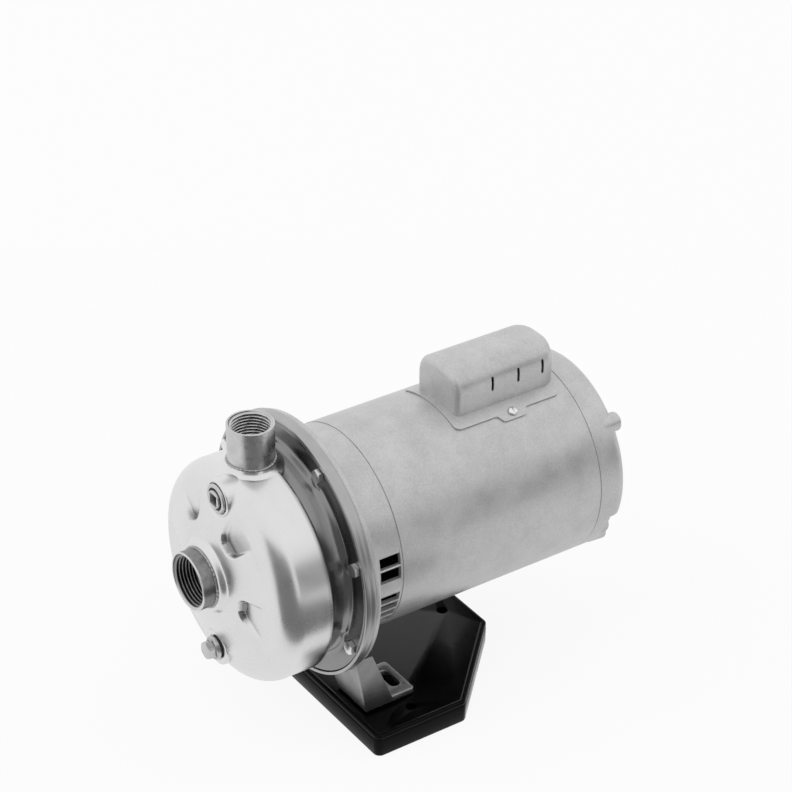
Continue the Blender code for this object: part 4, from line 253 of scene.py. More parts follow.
def cut(piece, bm, name, location=(0.0, 0.0, 0.0)):
    """Take a helper solid away from a piece, and drop the helper."""
    tool = make_mesh_object(name, bm, location=location)
    modifier = piece.modifiers.new(name, "BOOLEAN")
    modifier.operation = "DIFFERENCE"
    modifier.solver = "EXACT"
    modifier.object = tool
    settle(piece)
    bpy.data.objects.remove(tool)


def settle(piece):
    """Apply a piece's modifiers to its mesh."""
    bpy.context.view_layer.update()
    graph = bpy.context.evaluated_depsgraph_get()
    done = bpy.data.meshes.new_from_object(piece.evaluated_get(graph))
    piece.modifiers.clear()
    piece.data = done


def soften(piece, width, segments=2, angle=30.0):
    """Round a piece's edges, as moulding, casting or tumbling leaves them."""
    modifier = piece.modifiers.new("soft_edges", "BEVEL")
    modifier.width = width
    modifier.segments = segments
    modifier.limit_method = "ANGLE"
    modifier.angle_limit = math.radians(angle)
    modifier.use_clamp_overlap = True
    settle(piece)
    piece.data.shade_smooth()
    piece.data.set_sharp_from_angle(angle=math.radians(50.0))


def fit(piece, material, body, slot, *nodes):
    """Give a piece its material, its body and the solids that it stands for; the record slot is not used."""
    piece.data.materials.clear()
    piece.data.materials.append(material)
    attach(piece, body)
    if nodes:
        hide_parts(*nodes)
    return piece


def new_finish(name):
    """An empty material and its node tree."""
    material = bpy.data.materials.new(name)
    material.use_nodes = True
    material.node_tree.nodes.clear()
    return material, material.node_tree


def noise(tree, scale, detail, roughness=0.5, output="Fac"):
    """Noise fixed to the piece; its scale is in waves to the metre."""
    coords = add(tree, "TexCoord", {}, {})
    return add(tree, "TexNoise", {}, {"Vector": coords.outputs["Object"], "Scale": scale, "Detail": detail,
                                      "Roughness": roughness}).outputs[output]


def blend(tree, share, first, second):
    """A mix of two colours; each is a hex colour or another node's output."""
    first, second = [hex_colour(one) if isinstance(one, str) else one for one in (first, second)]
    return add(tree, "MixRGB", {}, {"Fac": share, "Color1": first, "Color2": second}).outputs[0]


def spread(tree, value, low, high, from_low=0.0, from_high=1.0):
    """A value moved from one range to another, and held inside it."""
    return add(tree, "MapRange", {}, {"Value": value, "From Min": from_low, "From Max": from_high,
                                      "To Min": low, "To Max": high}).outputs[0]


def finish_surface(tree, height, strength, depth, inputs):
    """The shader with its bump, joined to the output."""
    bump = add(tree, "Bump", {}, {"Height": height, "Strength": strength, "Distance": depth})
    shader = add(tree, "BsdfPrincipled", {}, {**inputs, "Normal": bump.outputs[0]})
    add(tree, "OutputMaterial", {}, {"Surface": shader.outputs[0]})


def base_outline(inset):
    side = BASE_HALF_WIDTH - inset
    front = -BASE_HALF_LENGTH + inset
    rear = BASE_HALF_LENGTH - inset
    slope = inset * math.tan(math.radians(22.5))
    corners = [(-side, front), (side, front), (side, BASE_HALF_LENGTH - BASE_CHAMFER - slope),
               (BASE_HALF_WIDTH - BASE_CHAMFER - slope, rear),
               (-BASE_HALF_WIDTH + BASE_CHAMFER + slope, rear),
               (-side, BASE_HALF_LENGTH - BASE_CHAMFER - slope)]
    return round_corners(corners, BASE_CORNER - min(inset, 0.5 * BASE_CORNER), 6)


levels = [(0.0012, 0.0), (0.0004, 0.0004), (0.0, 0.0014), (0.0, BASE_HEIGHT - 0.0056),
          (0.0002, BASE_HEIGHT - 0.0052), (0.0010, BASE_HEIGHT - 0.0048), (0.0010, BASE_HEIGHT - 0.0036),
          (0.0002, BASE_HEIGHT - 0.0030), (0.0, BASE_HEIGHT - 0.0025), (0.0001, BASE_HEIGHT - 0.0014),
          (0.0005, BASE_HEIGHT - 0.0006), (0.0012, BASE_HEIGHT - 0.0001), (0.0020, BASE_HEIGHT),
          (0.0032, BASE_HEIGHT), (0.0038, BASE_HEIGHT - 0.0002), (0.0044, BASE_HEIGHT - 0.0010),
          (0.0052, BASE_HEIGHT - 0.0012)]
bm = bmesh.new()
loops = [[bm.verts.new((point.x, point.y, height)) for point in base_outline(inset)]
         for inset, height in levels]
bridge(bm, loops, cap=True)
base = make_mesh_object("moulded_base", bm)
bm = bmesh.new()
upright = Matrix.Rotation(math.radians(90.0), 4, "X")
for x, y in BASE_HOLES:
    rod(bm, Matrix.Translation((x, y, 0.0)) @ upright, BASE_HOLE, -0.01, 0.03, 40)
cut(base, bm, "floor_bolt_holes")
soften(base, 0.0004, 2, 50.0)

# Moulded phenolic: deep black and glossy, with faint flow ripples and fine handling scuffs.
phenolic, tree = new_finish("moulded_black_phenolic")
scuff = noise(tree, 38.0, 6.0, 0.65)
finish_surface(tree, noise(tree, 160.0, 3.0), 0.25, 0.0003, {
    "Base Color": blend(tree, scuff, "#020202", "#070707"), "IOR": 1.5, "Specular IOR Level": 0.10,
    "Roughness": spread(tree, scuff, 0.10, 0.26, 0.35, 0.70)})
fit(base, phenolic, "pump", "base_pad", "base_pad")


# The adapter: one aluminium sand casting, a dish for the casing flange with two hollow feet.
# The dish is turned bright on a lathe; the feet keep their cast skin.

RIM_RADIUS = 0.1075
RIM_WALL = 0.0027
RIM_DEPTH = 0.0095
DISH_FLOOR = 0.0032
DISH_BORE = 0.0580
FOOT_BOTTOM = BASE_HEIGHT + GAP - SHAFT.z
BELL_FLANGE_RADIUS = 0.1055
FOOT_INNER = 0.0380
FOOT_OUTER = 0.0790
FOOT_FRONT = 0.0100
FOOT_BACK = 0.0370
FOOT_WALL = 0.0070
PAD_BACK = 0.0560
PAD_THICKNESS = 0.0055
SLOT_Y = 0.0460
SLOT_HALF = 0.0045
SLOT_REACH = 0.0065


def rounded(corners, steps=3):
    """Round the corners of a closed profile; each corner is (radius, y, size of its rounding)."""
    points = []
    count = len(corners)
    for number, (a, b, size) in enumerate(corners):
        here = Vector((a, b))
        if size <= 0.0:
            points.append(here)
            continue
        before = Vector(corners[number - 1][:2]) - here
        after = Vector(corners[(number + 1) % count][:2]) - here
        reach = min(size, 0.45 * before.length, 0.45 * after.length)
        start = here + before.normalized() * reach
        end = here + after.normalized() * reach
        for step in range(steps + 1):
            share = step / steps
            points.append(start * (1.0 - share) ** 2 + here * 2.0 * share * (1.0 - share) + end * share ** 2)
    return points


def turned(bm, points, segments=160, place=Matrix.Identity(4), closed=True):
    """Turn a profile about the Y axis of its place. A radius of 0 closes the solid on the axis."""
    rings = []
    for radius, y in points:
        if radius < 1e-6:
            rings.append([bm.verts.new(place @ Vector((0.0, y, 0.0)))])
            continue
        rings.append([bm.verts.new(place @ Vector((radius * math.sin(math.tau * step / segments), y,
                                                   radius * math.cos(math.tau * step / segments))))
                      for step in range(segments)])
    pairs = list(zip(rings, rings[1:]))
    if closed and len(rings[0]) > 1 and len(rings[-1]) > 1:
        pairs.append((rings[-1], rings[0]))
    for near, far in pairs:
        for step in range(segments):
            following = step + 1
            corners = (near[step % len(near)], near[following % len(near)],
                       far[following % len(far)], far[step % len(far)])
            unique = list(dict.fromkeys(corners))
            if len(unique) > 2:
                bm.faces.new(unique)


bm = bmesh.new()
inner = RIM_RADIUS - RIM_WALL
turned(bm, rounded([(DISH_BORE, 0.0, 0.0005), (DISH_BORE, -DISH_FLOOR, 0.0005), (inner, -DISH_FLOOR, 0.0012),
                    (inner, -RIM_DEPTH, 0.0007), (RIM_RADIUS, -RIM_DEPTH, 0.0012), (RIM_RADIUS, -0.0060, 0.0),
                    (RIM_RADIUS - 0.0002, -0.0045, 0.0002), (RIM_RADIUS, -0.0030, 0.0),
                    (RIM_RADIUS, 0.0, 0.0012)]), 256)
dish = make_mesh_object("turned_dish", bm, location=SHAFT)


def lerp(low, high, share):
    return low + (high - low) * share


def foot_leg(bm, side):
    """One leg under the dish: straight inside, leaning in front, deeper towards the base."""
    columns = 14
    top_z = -0.064
    loops = []
    for step in range(columns + 1):
        share = step / columns
        low = Vector((side * lerp(FOOT_INNER, FOOT_OUTER, share), 0.0, FOOT_BOTTOM))
        x_top = lerp(FOOT_INNER, FOOT_OUTER + 0.004, share)
        high_z = -math.sqrt((RIM_RADIUS - 0.0020) ** 2 - x_top * x_top)
        rise = (high_z - FOOT_BOTTOM) / (top_z - FOOT_BOTTOM)
        x_high = side * (abs(low.x) + (x_top - abs(low.x)) * rise)
        front_high = lerp(FOOT_FRONT, -0.0030, rise)
        back_high = lerp(FOOT_BACK, 0.0125, rise)
        loops.append([bm.verts.new(corner) for corner in
                      ((low.x, FOOT_FRONT, FOOT_BOTTOM), (low.x, FOOT_BACK, FOOT_BOTTOM),
                       (x_high, back_high, high_z), (x_high, front_high, high_z))])
    bridge(bm, loops, cap=True)


feet = []
for side in (-1.0, 1.0):
    bm = bmesh.new()
    foot_leg(bm, side)
    leg = make_mesh_object("leg", bm)
    bm = bmesh.new()
    loops = []
    for height, front, back_y in ((FOOT_BOTTOM + PAD_THICKNESS, FOOT_FRONT + FOOT_WALL, 0.06),
                                  (-0.1050, 0.0060 + FOOT_WALL, 0.06)):
        loops.append([bm.verts.new((side * (FOOT_INNER + FOOT_WALL), front, height)),
                      bm.verts.new((side * (FOOT_OUTER - FOOT_WALL), front, height)),
                      bm.verts.new((side * (FOOT_OUTER - FOOT_WALL), back_y, height)),
                      bm.verts.new((side * (FOOT_INNER + FOOT_WALL), back_y, height))])
    bridge(bm, loops, cap=True)
    cut(leg, bm, "leg_pocket")
    soften(leg, 0.0013, 3, 25.0)
    feet.append(leg)

    bm = bmesh.new()
    outline = round_corners([(FOOT_INNER, FOOT_FRONT), (FOOT_OUTER, FOOT_FRONT), (FOOT_OUTER, PAD_BACK),
                             (FOOT_INNER, PAD_BACK)], 0.0025, 4)
    loops = [[bm.verts.new((side * point.x, point.y, height)) for point in outline]
             for height in (FOOT_BOTTOM, FOOT_BOTTOM + PAD_THICKNESS)]
    bridge(bm, loops, cap=True)
    pad = make_mesh_object("pad", bm)
    bm = bmesh.new()
    middle = side * 0.5 * (FOOT_INNER + FOOT_OUTER)
    outline = []
    for centre, start in ((SLOT_REACH, -90.0), (-SLOT_REACH, 90.0)):
        for step in range(13):
            angle = math.radians(start + 15.0 * step)
            outline.append((middle + centre + SLOT_HALF * math.cos(angle),
                            SLOT_Y + SLOT_HALF * math.sin(angle)))
    loops = [[bm.verts.new((x, y, height)) for x, y in outline]
             for height in (FOOT_BOTTOM - 0.002, FOOT_BOTTOM + 0.008)]
    bridge(bm, loops, cap=True)
    cut(pad, bm, "hold_down_slot")
    soften(pad, 0.0009, 2, 40.0)
    feet.append(pad)

bm = bmesh.new()
for part in feet:
    bm.from_mesh(part.data)
    bpy.data.objects.remove(part)
foot_casting = make_mesh_object("cast_feet", bm, 50.0, location=SHAFT)

# Turned aluminium: the tool leaves fine rings round the shaft, drawn at 1.2 mm so that they show.
turned_aluminium, tree = new_finish("turned_aluminium")
coords = add(tree, "TexCoord", {}, {})
rings = add(tree, "TexWave", {"wave_type": "RINGS", "rings_direction": "Y", "wave_profile": "SIN"},
            {"Vector": coords.outputs["Object"], "Scale": 262.0, "Distortion": 0.4, "Detail": 2.0,
             "Detail Scale": 4.0})
finish_surface(tree, rings.outputs["Fac"], 0.30, 0.0002, {
    "Base Color": blend(tree, noise(tree, 45.0, 4.0), "#9A9A9A", "#BEBEBE"), "Metallic": 1.0,
    "Roughness": spread(tree, rings.outputs["Fac"], 0.24, 0.36)})

# Sand-cast aluminium: a fine pebbled skin of about 2 mm grains, dull, darker in its low spots.
cast_aluminium, tree = new_finish("sand_cast_aluminium")
grain = noise(tree, 520.0, 5.0, 0.6)
finish_surface(tree, grain, 0.45, 0.0005, {
    "Base Color": blend(tree, noise(tree, 60.0, 4.0), "#8A8A8A", "#B8B8B8"), "Metallic": 1.0,
    "Roughness": spread(tree, grain, 0.38, 0.55, 0.3, 0.7)})
fit(dish, turned_aluminium, "pump", "adapter_bracket", "adapter_bracket")
fit(foot_casting, cast_aluminium, "pump", "adapter_bracket", "adapter_bracket")


# The volute casing: one piece of stainless sheet, deep drawn into a dome whose body sits off
# the shaft, with four dimples, two plug bosses, a narrower neck and a flange notched round the bolts.

CASING_WALL = 0.0020
CASING_RADIUS = 0.0903
CASING_SHIFT = 0.0046
CASING_SHIFT_ANGLE = math.radians(137.3)
SHOULDER_RADIUS = 0.0190
SHOULDER_Y = -0.0543
DOME_FRONT = -0.0850
DOME_SPHERE = 0.2500
CASING_REAR = -0.0282
NECK_RADIUS = 0.0846
FLANGE_FRONT = -0.0088
FLANGE_BACK = -0.0066
FLANGE_RADIUS = 0.1042
BOLT_CIRCLE = 0.0980
BOLT_ANGLES = [math.radians(26.7) + math.tau * number / 8.0 for number in range(8)]
SCALLOP_RADIUS = 0.0115
SUCTION_RADIUS = 0.0236
COLLAR_FRONT = -0.0882
COLLAR_FLAT = 0.0258
COLLAR_FOOT = 0.0316
STEP_RADIUS = 0.0885
DIMPLE_ANGLES = [math.radians(angle) for angle in (-97.0, -31.0, 33.5, 98.0)]
DIMPLE_INNER = 0.0435
DIMPLE_OUTER = 0.0730
DIMPLE_DEPTH = 0.0055
DIMPLE_HALF_APEX = 0.0040
DIMPLE_HALF_WIDTH = 0.0084
DIMPLE_APEX_LENGTH = 0.0045
DIMPLE_SPREAD = math.tan(math.radians(17.5))
PLUG_PAD_RADIUS = 0.0150
# Each boss: its name, its place across the face, its pad, the seat in it, its skirt and its recess.
PLUG_BOSSES = [("priming_plug", 0.0070, 0.0710, -0.0762, -0.0740, -0.0585, 0.0125),
               ("drain_plug", 0.0018, -0.0695, -0.0780, -0.0774, -0.0675, 0.0103)]


def polar(radius, angle, y):
    """A point at an angle round the shaft, from straight up towards +X."""
    return Vector((radius * math.sin(angle), y, radius * math.cos(angle)))


def smooth(value):
    value = min(max(value, 0.0), 1.0)
    return value * value * (3.0 - 2.0 * value)


def front_y(radius, wall=0.0):
    """Height of the drawn front at a radius on the casing's own centre."""
    start = CASING_RADIUS - SHOULDER_RADIUS
    sphere = DOME_SPHERE - wall
    if radius <= start:
        dome = DOME_FRONT + DOME_SPHERE - math.sqrt(sphere * sphere - radius * radius)
        return lerp(dome, COLLAR_FRONT + wall, smooth((COLLAR_FOOT - radius) / (COLLAR_FOOT - COLLAR_FLAT)))
    bend = SHOULDER_RADIUS - wall
    share = math.sqrt(max(0.0, 1.0 - ((radius - start) / bend) ** 2))
    top = DOME_FRONT + DOME_SPHERE - math.sqrt(DOME_SPHERE * DOME_SPHERE - start * start)
    return SHOULDER_Y - bend * share + (top - SHOULDER_Y + SHOULDER_RADIUS) * share * share


def shift_share(radius, y):
    """How much of the off-centre shift a ring takes: none at the port and at the flange."""
    if y > CASING_REAR:
        return smooth(1.0 - (y - CASING_REAR) / 0.0035)
    return smooth((radius - 0.030) / 0.030)


def flange_step(angle):
    """Radius where the step meets the flange; it is notched in round each bolt."""
    foot = STEP_RADIUS
    for bolt in BOLT_ANGLES:
        apart = (angle - bolt + math.pi) % math.tau - math.pi
        across = BOLT_CIRCLE * math.sin(apart)
        if abs(across) < SCALLOP_RADIUS and abs(apart) < 1.0:
            near = BOLT_CIRCLE * math.cos(apart) - math.sqrt(SCALLOP_RADIUS ** 2 - across ** 2)
            foot = min(foot, near)
    return foot


def casing_rings(angle, wall):
    """The section of the casing at an angle, as (radius, y), from the port to the flange edge."""
    points = []
    start = CASING_RADIUS - SHOULDER_RADIUS
    radius = SUCTION_RADIUS + GAP
    while radius < start:
        points.append((radius, front_y(radius, wall)))
        radius += 0.0006 if radius < COLLAR_FOOT + 0.001 else 0.0012
    bend = SHOULDER_RADIUS - wall
    for step in range(27):
        turn = math.radians(86.0 * (1.0 - step / 26.0))
        points.append((start + bend * math.cos(turn), front_y(start + bend * math.cos(turn), wall)))
    side = CASING_RADIUS - wall
    for y in (-0.0500, -0.0450, -0.0400, -0.0350, -0.0315):
        points.append((side, y))
    roll = 0.0022
    for step in range(1, 6):
        turn = math.radians(18.0 * step)
        points.append((side - roll * (1.0 - math.cos(turn)), -0.0304 + roll * math.sin(turn)))
    neck = NECK_RADIUS + 0.0006 - wall
    for share in (0.25, 0.5, 0.75):
        points.append((lerp(side - roll, neck, share), CASING_REAR + 0.0003))
    points += [(neck + 0.0002, CASING_REAR + 0.0010), (neck, CASING_REAR + 0.0025), (neck, -0.0200),
               (neck + 0.0002, -0.0150)]
    foot = flange_step(angle) - wall
    points += [(lerp(neck, foot, 0.30), -0.0122), (lerp(neck, foot, 0.60) + 0.0002, -0.0114),
               (foot - 0.0006, -0.0104), (foot - 0.0002, -0.0094), (foot + 0.0006, FLANGE_FRONT + wall)]
    if wall == 0.0:
        points += [(lerp(foot + 0.0006, FLANGE_RADIUS, share), FLANGE_FRONT) for share in (0.2, 0.5, 0.8)]
        points += [(FLANGE_RADIUS - 0.0005, FLANGE_FRONT), (FLANGE_RADIUS, FLANGE_FRONT + 0.0005),
                   (FLANGE_RADIUS, FLANGE_BACK)]
    return points


def dimple_planes():
    """Each dimple's angle, the height of its floor at its inner end, and how fast the floor rises."""
    planes = []
    for angle in DIMPLE_ANGLES:
        heights = []
        for radius in (DIMPLE_INNER, DIMPLE_OUTER):
            off = CASING_SHIFT * shift_share(radius, DOME_FRONT) * math.cos(angle - CASING_SHIFT_ANGLE)
            heights.append(front_y(radius - off))
        low = heights[0] + DIMPLE_DEPTH
        planes.append((angle, low, (heights[1] - low) / (DIMPLE_OUTER - DIMPLE_INNER)))
    return planes


DIMPLE_PLANES = dimple_planes()
PRESSED_IN_FRONT_OF = -0.0560


def pressed(point):
    """Where the tools press a point of the drawn shell, and how much painted shade its dimple gets there."""
    painted_shade = 0.0
    if point.y > PRESSED_IN_FRONT_OF:
        return point, painted_shade
    y = point.y
    for angle, low, slope in DIMPLE_PLANES:
        along = point.x * math.sin(angle) + point.z * math.cos(angle) - DIMPLE_INNER
        if along < -0.003:
            continue
        across = abs(point.x * math.cos(angle) - point.z * math.sin(angle))
        reach = max(along, 0.0)
        apex = math.sqrt(min(reach / DIMPLE_APEX_LENGTH, 1.0))
        half = lerp(DIMPLE_HALF_APEX, DIMPLE_HALF_WIDTH, apex) + reach * DIMPLE_SPREAD
        floor = low + slope * reach
        if floor > y:
            inside = smooth((half - across) / 0.0030 + 0.5)
            inside *= smooth(along / 0.0030 + 0.5)
            # painted shade: the dimple hollows are coloured darkest towards their inner apex, in place of
            # their shade.
            painted_shade = max(painted_shade, smooth(2.0 * inside) * smooth(1.15 - along / 0.0085))
            y += (floor - y) * inside
    for name, x, z, pad, seat, skirt, recess in PLUG_BOSSES:
        reach = math.hypot(point.x - x, point.z - z)
        y += max(pad + 0.0008 - y, 0.0) * smooth((PLUG_PAD_RADIUS + 0.0010 - reach) / 0.0022)
        y += max(seat + 0.0008 - y, 0.0) * smooth((recess + 0.0016 - reach) / 0.0014)
    return Vector((point.x, y, point.z)), painted_shade


CASING_SEGMENTS = 448
shift = polar(CASING_SHIFT, CASING_SHIFT_ANGLE, 0.0)
bm = bmesh.new()
painted_shade_layer = bm.verts.layers.float.new("painted_shade")
columns = []
for step in range(CASING_SEGMENTS):
    angle = math.tau * step / CASING_SEGMENTS
    column = []
    for wall in (0.0, CASING_WALL):
        section = casing_rings(angle, wall)
        if wall:
            section = section[::-1][::2]
        for radius, y in section:
            back_off = wall if y < PRESSED_IN_FRONT_OF else 0.0
            drawn = polar(radius, angle, y - back_off) + shift * shift_share(radius, y)
            point, painted_shade = pressed(drawn)
            point.y += back_off
            column.append(bm.verts.new(point))
            column[-1][painted_shade_layer] = painted_shade
    columns.append(column)
bridge(bm, columns, closed=True)
casing = make_mesh_object("drawn_casing", bm, 60.0, location=SHAFT)
bosses = []
for name, x, z, pad, seat, skirt, recess in PLUG_BOSSES:
    bm = bmesh.new()
    turned(bm, rounded([(0.0068, seat, 0.0003), (recess, seat, 0.0003), (recess, pad, 0.0008),
                        (PLUG_PAD_RADIUS, pad, 0.0016), (PLUG_PAD_RADIUS + 0.0006, skirt, 0.0),
                        (0.0068, skirt, 0.0)], 4), 96, Matrix.Translation((x, 0.0, z)))
    bosses.append(make_mesh_object(name + "_boss", bm, 50.0, location=SHAFT))

# Satin stainless: bright, with soft clouds from the polishing mop and faint rings of the draw. It
# is painted darker behind the body and in the dimples: painted shade in the recessed neck and flange and in
# the dimple hollows.
satin_stainless, tree = new_finish("satin_stainless_sheet")
coords = add(tree, "TexCoord", {}, {})
cloud = noise(tree, 22.0, 5.0, 0.6)
draw = add(tree, "TexWave", {"wave_type": "RINGS", "rings_direction": "Y"},
           {"Vector": coords.outputs["Object"], "Scale": 120.0, "Distortion": 6.0, "Detail": 3.0})
place = add(tree, "SeparateXYZ", {}, {"Vector": coords.outputs["Object"]})
# painted shade: the neck and flange behind the body take the darker colour.
behind = spread(tree, place.outputs["Y"], 0.0, 1.0, -0.0330, -0.0290)
dimple_shade = add(tree, "Attribute", {"attribute_name": "painted_shade"}, {})
painted_shade_share = add(tree, "Math", {"operation": "MAXIMUM"}, {0: behind, 1: dimple_shade.outputs["Fac"]})
relief = add(tree, "Math", {"operation": "MULTIPLY_ADD"},
             {0: draw.outputs["Fac"], 1: 0.35, 2: noise(tree, 900.0, 2.0)})
# The darker #8A8A8A is the colour of the painted shade.
finish_surface(tree, relief.outputs[0], 0.045, 0.0003, {
    "Base Color": blend(tree, painted_shade_share.outputs[0], blend(tree, cloud, "#D2D2D2", "#EAEAEA"), "#8A8A8A"),
    "Metallic": 1.0, "Roughness": spread(tree, cloud, 0.22, 0.34, 0.3, 0.7)})
fit(casing, satin_stainless, "pump", "volute_casing", "volute_casing")
for boss in bosses:
    fit(boss, satin_stainless, "pump", "volute_casing", "volute_casing")


# The two ports: stainless couplings, turned outside and cut with a taper pipe thread inside,
# each welded into the casing with one bead.

DISCHARGE_RADIUS = 0.01835
DISCHARGE_BORE = 0.0146
DISCHARGE_Y = -0.0415
DISCHARGE_TOP = 0.1221
SUCTION_BORE = 0.0180
SUCTION_FACE = -0.1002
# The real thread has 11.5 turns to the inch, 2.2 mm each; it is drawn at 2.6 mm, so that its turns show.
THREAD_PITCH = 0.0026
THREAD_DEPTH = 0.0015
SUCTION_MOUTH = 0.0022
NECK_RISE = 0.0052
NECK_FLARE = 0.0062


def threaded_coupling(bm, place, outer, bore, face, inside, mouth=0.0, segments=128):
    """A coupling along Y, open at its face; the thread winds in as a real helix, from a widened mouth."""
    painted_shade_layer = bm.verts.layers.float.new("painted_shade")
    direction = 1.0 if inside > face else -1.0
    outer_points = rounded([(outer, inside, 0.0004), (outer, face, 0.0009),
                            (bore + 0.0020 + mouth, face, 0.0005)])[2:]
    count = 150
    length = abs(inside - face) - 0.0016
    columns = []
    for step in range(segments):
        turn = step / segments
        angle = math.tau * turn
        column = [Vector((point.x, point.y, 0.0)) for point in outer_points]
        for row in range(count + 1):
            depth = 0.0010 + length * row / count
            phase = (depth / THREAD_PITCH - turn) % 1.0
            groove = 1.0 - abs(2.0 * phase - 1.0)
            flare = 0.0012 * max(0.0, 1.0 - depth / 0.0022)
            fade = smooth((length - depth) / 0.004)
            cone = mouth * max(0.0, 1.0 - depth / 0.0120)
            radius = bore + cone + flare + THREAD_DEPTH * smooth(groove * 1.15) * fade
            # The third value is painted shade: darkest at the bottom of the thread's groove.
            column.append(Vector((min(radius, bore + 0.0020 + mouth), face + direction * depth,
                                  smooth(groove * 1.6 - 0.5) * fade)))
        column.append(Vector((bore, inside, 0.0)))
        rows = []
        for radius, y, painted_shade in column:
            rows.append(bm.verts.new(place @ Vector((radius * math.sin(angle), y, radius * math.cos(angle)))))
            rows[-1][painted_shade_layer] = painted_shade
        columns.append(rows)
    bridge(bm, columns, closed=True)


def weld_bead(bm, path, radius, normals):
    """A bead along a closed path; its ripples are the puddles that the welder left."""
    sides = 10
    loops = []
    count = len(path)
    for number, point in enumerate(path):
        along = (path[(number + 1) % count] - path[number - 1]).normalized()
        outward = normals[number]
        third = along.cross(outward).normalized()
        size = radius * (1.0 + 0.16 * math.sin(math.tau * number / 6.0) + 0.10 * math.sin(number * 0.37))
        loops.append([bm.verts.new(point + (outward * math.cos(math.tau * side / sides)
                                            + third * math.sin(math.tau * side / sides)) * size)
                      for side in range(sides)])
    bridge(bm, loops, closed=True)


def casing_top(x, y):
    """Height of the casing's body over a place, where the discharge coupling stands."""
    radius = CASING_RADIUS
    if y < SHOULDER_Y:
        share = min((SHOULDER_Y - y) / SHOULDER_RADIUS, 1.0)
        radius = CASING_RADIUS - SHOULDER_RADIUS * (1.0 - math.sqrt(1.0 - share * share))
    return shift.z + math.sqrt(radius * radius - (x - shift.x) ** 2)


bm = bmesh.new()
threaded_coupling(bm, Matrix.Identity(4), SUCTION_RADIUS, SUCTION_BORE, SUCTION_FACE, -0.0755,
                  SUCTION_MOUTH)
suction = make_mesh_object("suction_coupling_turned", bm, 40.0, location=SHAFT)
bm = bmesh.new()
stand = Matrix.Translation((0.0, DISCHARGE_Y, 0.0)) @ Matrix.Rotation(math.radians(90.0), 4, "X")
threaded_coupling(bm, stand, DISCHARGE_RADIUS, DISCHARGE_BORE, DISCHARGE_TOP, 0.0810)
discharge = make_mesh_object("discharge_coupling_turned", bm, 40.0, location=SHAFT)

bm = bmesh.new()
path = []
normals = []
for number in range(240):
    angle = math.tau * number / 240.0
    path.append(polar(SUCTION_RADIUS + GAP, angle, COLLAR_FRONT - 0.0001))
    normals.append(polar(1.0, angle, -1.0).normalized())
weld_bead(bm, path, 0.0011, normals)
suction_bead = make_mesh_object("suction_weld", bm, 70.0, location=SHAFT)
bm = bmesh.new()
path = []
normals = []
for number in range(216):
    angle = math.tau * number / 216.0
    outward = Vector((math.sin(angle), math.cos(angle), 0.0))
    place = outward * (DISCHARGE_RADIUS + GAP) + Vector((0.0, DISCHARGE_Y, 0.0))
    path.append(Vector((place.x, place.y, casing_top(place.x, place.y) + NECK_RISE)))
    normals.append((outward + Vector((0.0, 0.0, 1.0))).normalized())
weld_bead(bm, path, 0.0010, normals)
discharge_bead = make_mesh_object("discharge_weld", bm, 70.0, location=SHAFT)

# The sheet is drawn up into a short neck where the discharge coupling stands.
bm = bmesh.new()
loops = []
for step in range(13):
    share = step / 12.0
    loop = []
    for number in range(216):
        angle = math.tau * number / 216.0
        outward = Vector((math.sin(angle), math.cos(angle), 0.0))
        reach = DISCHARGE_RADIUS + GAP + NECK_FLARE * share ** 1.6
        place = outward * reach + Vector((0.0, DISCHARGE_Y, 0.0))
        lift = NECK_RISE * (1.0 - share) ** 2 - 0.0006 * share ** 3
        loop.append(bm.verts.new((place.x, place.y, casing_top(place.x, place.y) + lift)))
    loops.append(loop)
inner = [bm.verts.new((corner.co.x, corner.co.y, corner.co.z - 0.0100)) for corner in loops[0]]
outer = [bm.verts.new((corner.co.x, corner.co.y, corner.co.z - 0.0020)) for corner in loops[-1]]
bridge(bm, [inner] + loops + [outer], closed=True)
discharge_neck = make_mesh_object("discharge_neck", bm, 60.0, location=SHAFT)
fit(discharge_neck, satin_stainless, "pump", "volute_casing", "volute_casing")

# Turned stainless: bright bar with a faint mottle, and painted shade, near black, in the grooves of its
# thread and in the priming plug's socket.
turned_stainless, tree = new_finish("turned_stainless_bar")
lay = noise(tree, 300.0, 3.0)
clean = blend(tree, noise(tree, 70.0, 4.0), "#B4B4B4", "#DADADA")
# painted shade: the thread grooves and the plug socket are coloured near black.
groove = add(tree, "Attribute", {"attribute_name": "painted_shade"}, {})
finish_surface(tree, lay, 0.05, 0.0002, {
    "Base Color": blend(tree, groove.outputs["Fac"], clean, "#1E1E1E"), "Metallic": 1.0,
    "Roughness": spread(tree, lay, 0.24, 0.38, 0.3, 0.7)})

# Weld metal: frosted and a shade darker than the sheet, from heat and brushing.
weld_metal, tree = new_finish("brushed_weld_metal")
grit = noise(tree, 600.0, 4.0)
finish_surface(tree, grit, 0.4, 0.0003, {
    "Base Color": blend(tree, grit, "#868686", "#C6C6C6"), "Metallic": 1.0, "Roughness": 0.36})

# Heat-tinted stainless: the same bar, dulled and darkened by the weld, with its end face bright.
tinted_stainless, tree = new_finish("heat_tinted_stainless_bar")
lay = noise(tree, 300.0, 3.0)
coords = add(tree, "TexCoord", {}, {})
place = add(tree, "SeparateXYZ", {}, {"Vector": coords.outputs["Object"]})
tip = spread(tree, place.outputs["Y"], 0.0, 1.0, -0.0988, -0.0996)
bright = blend(tree, tip, blend(tree, lay, "#6E6E6E", "#A0A0A0"), "#D8D8D8")
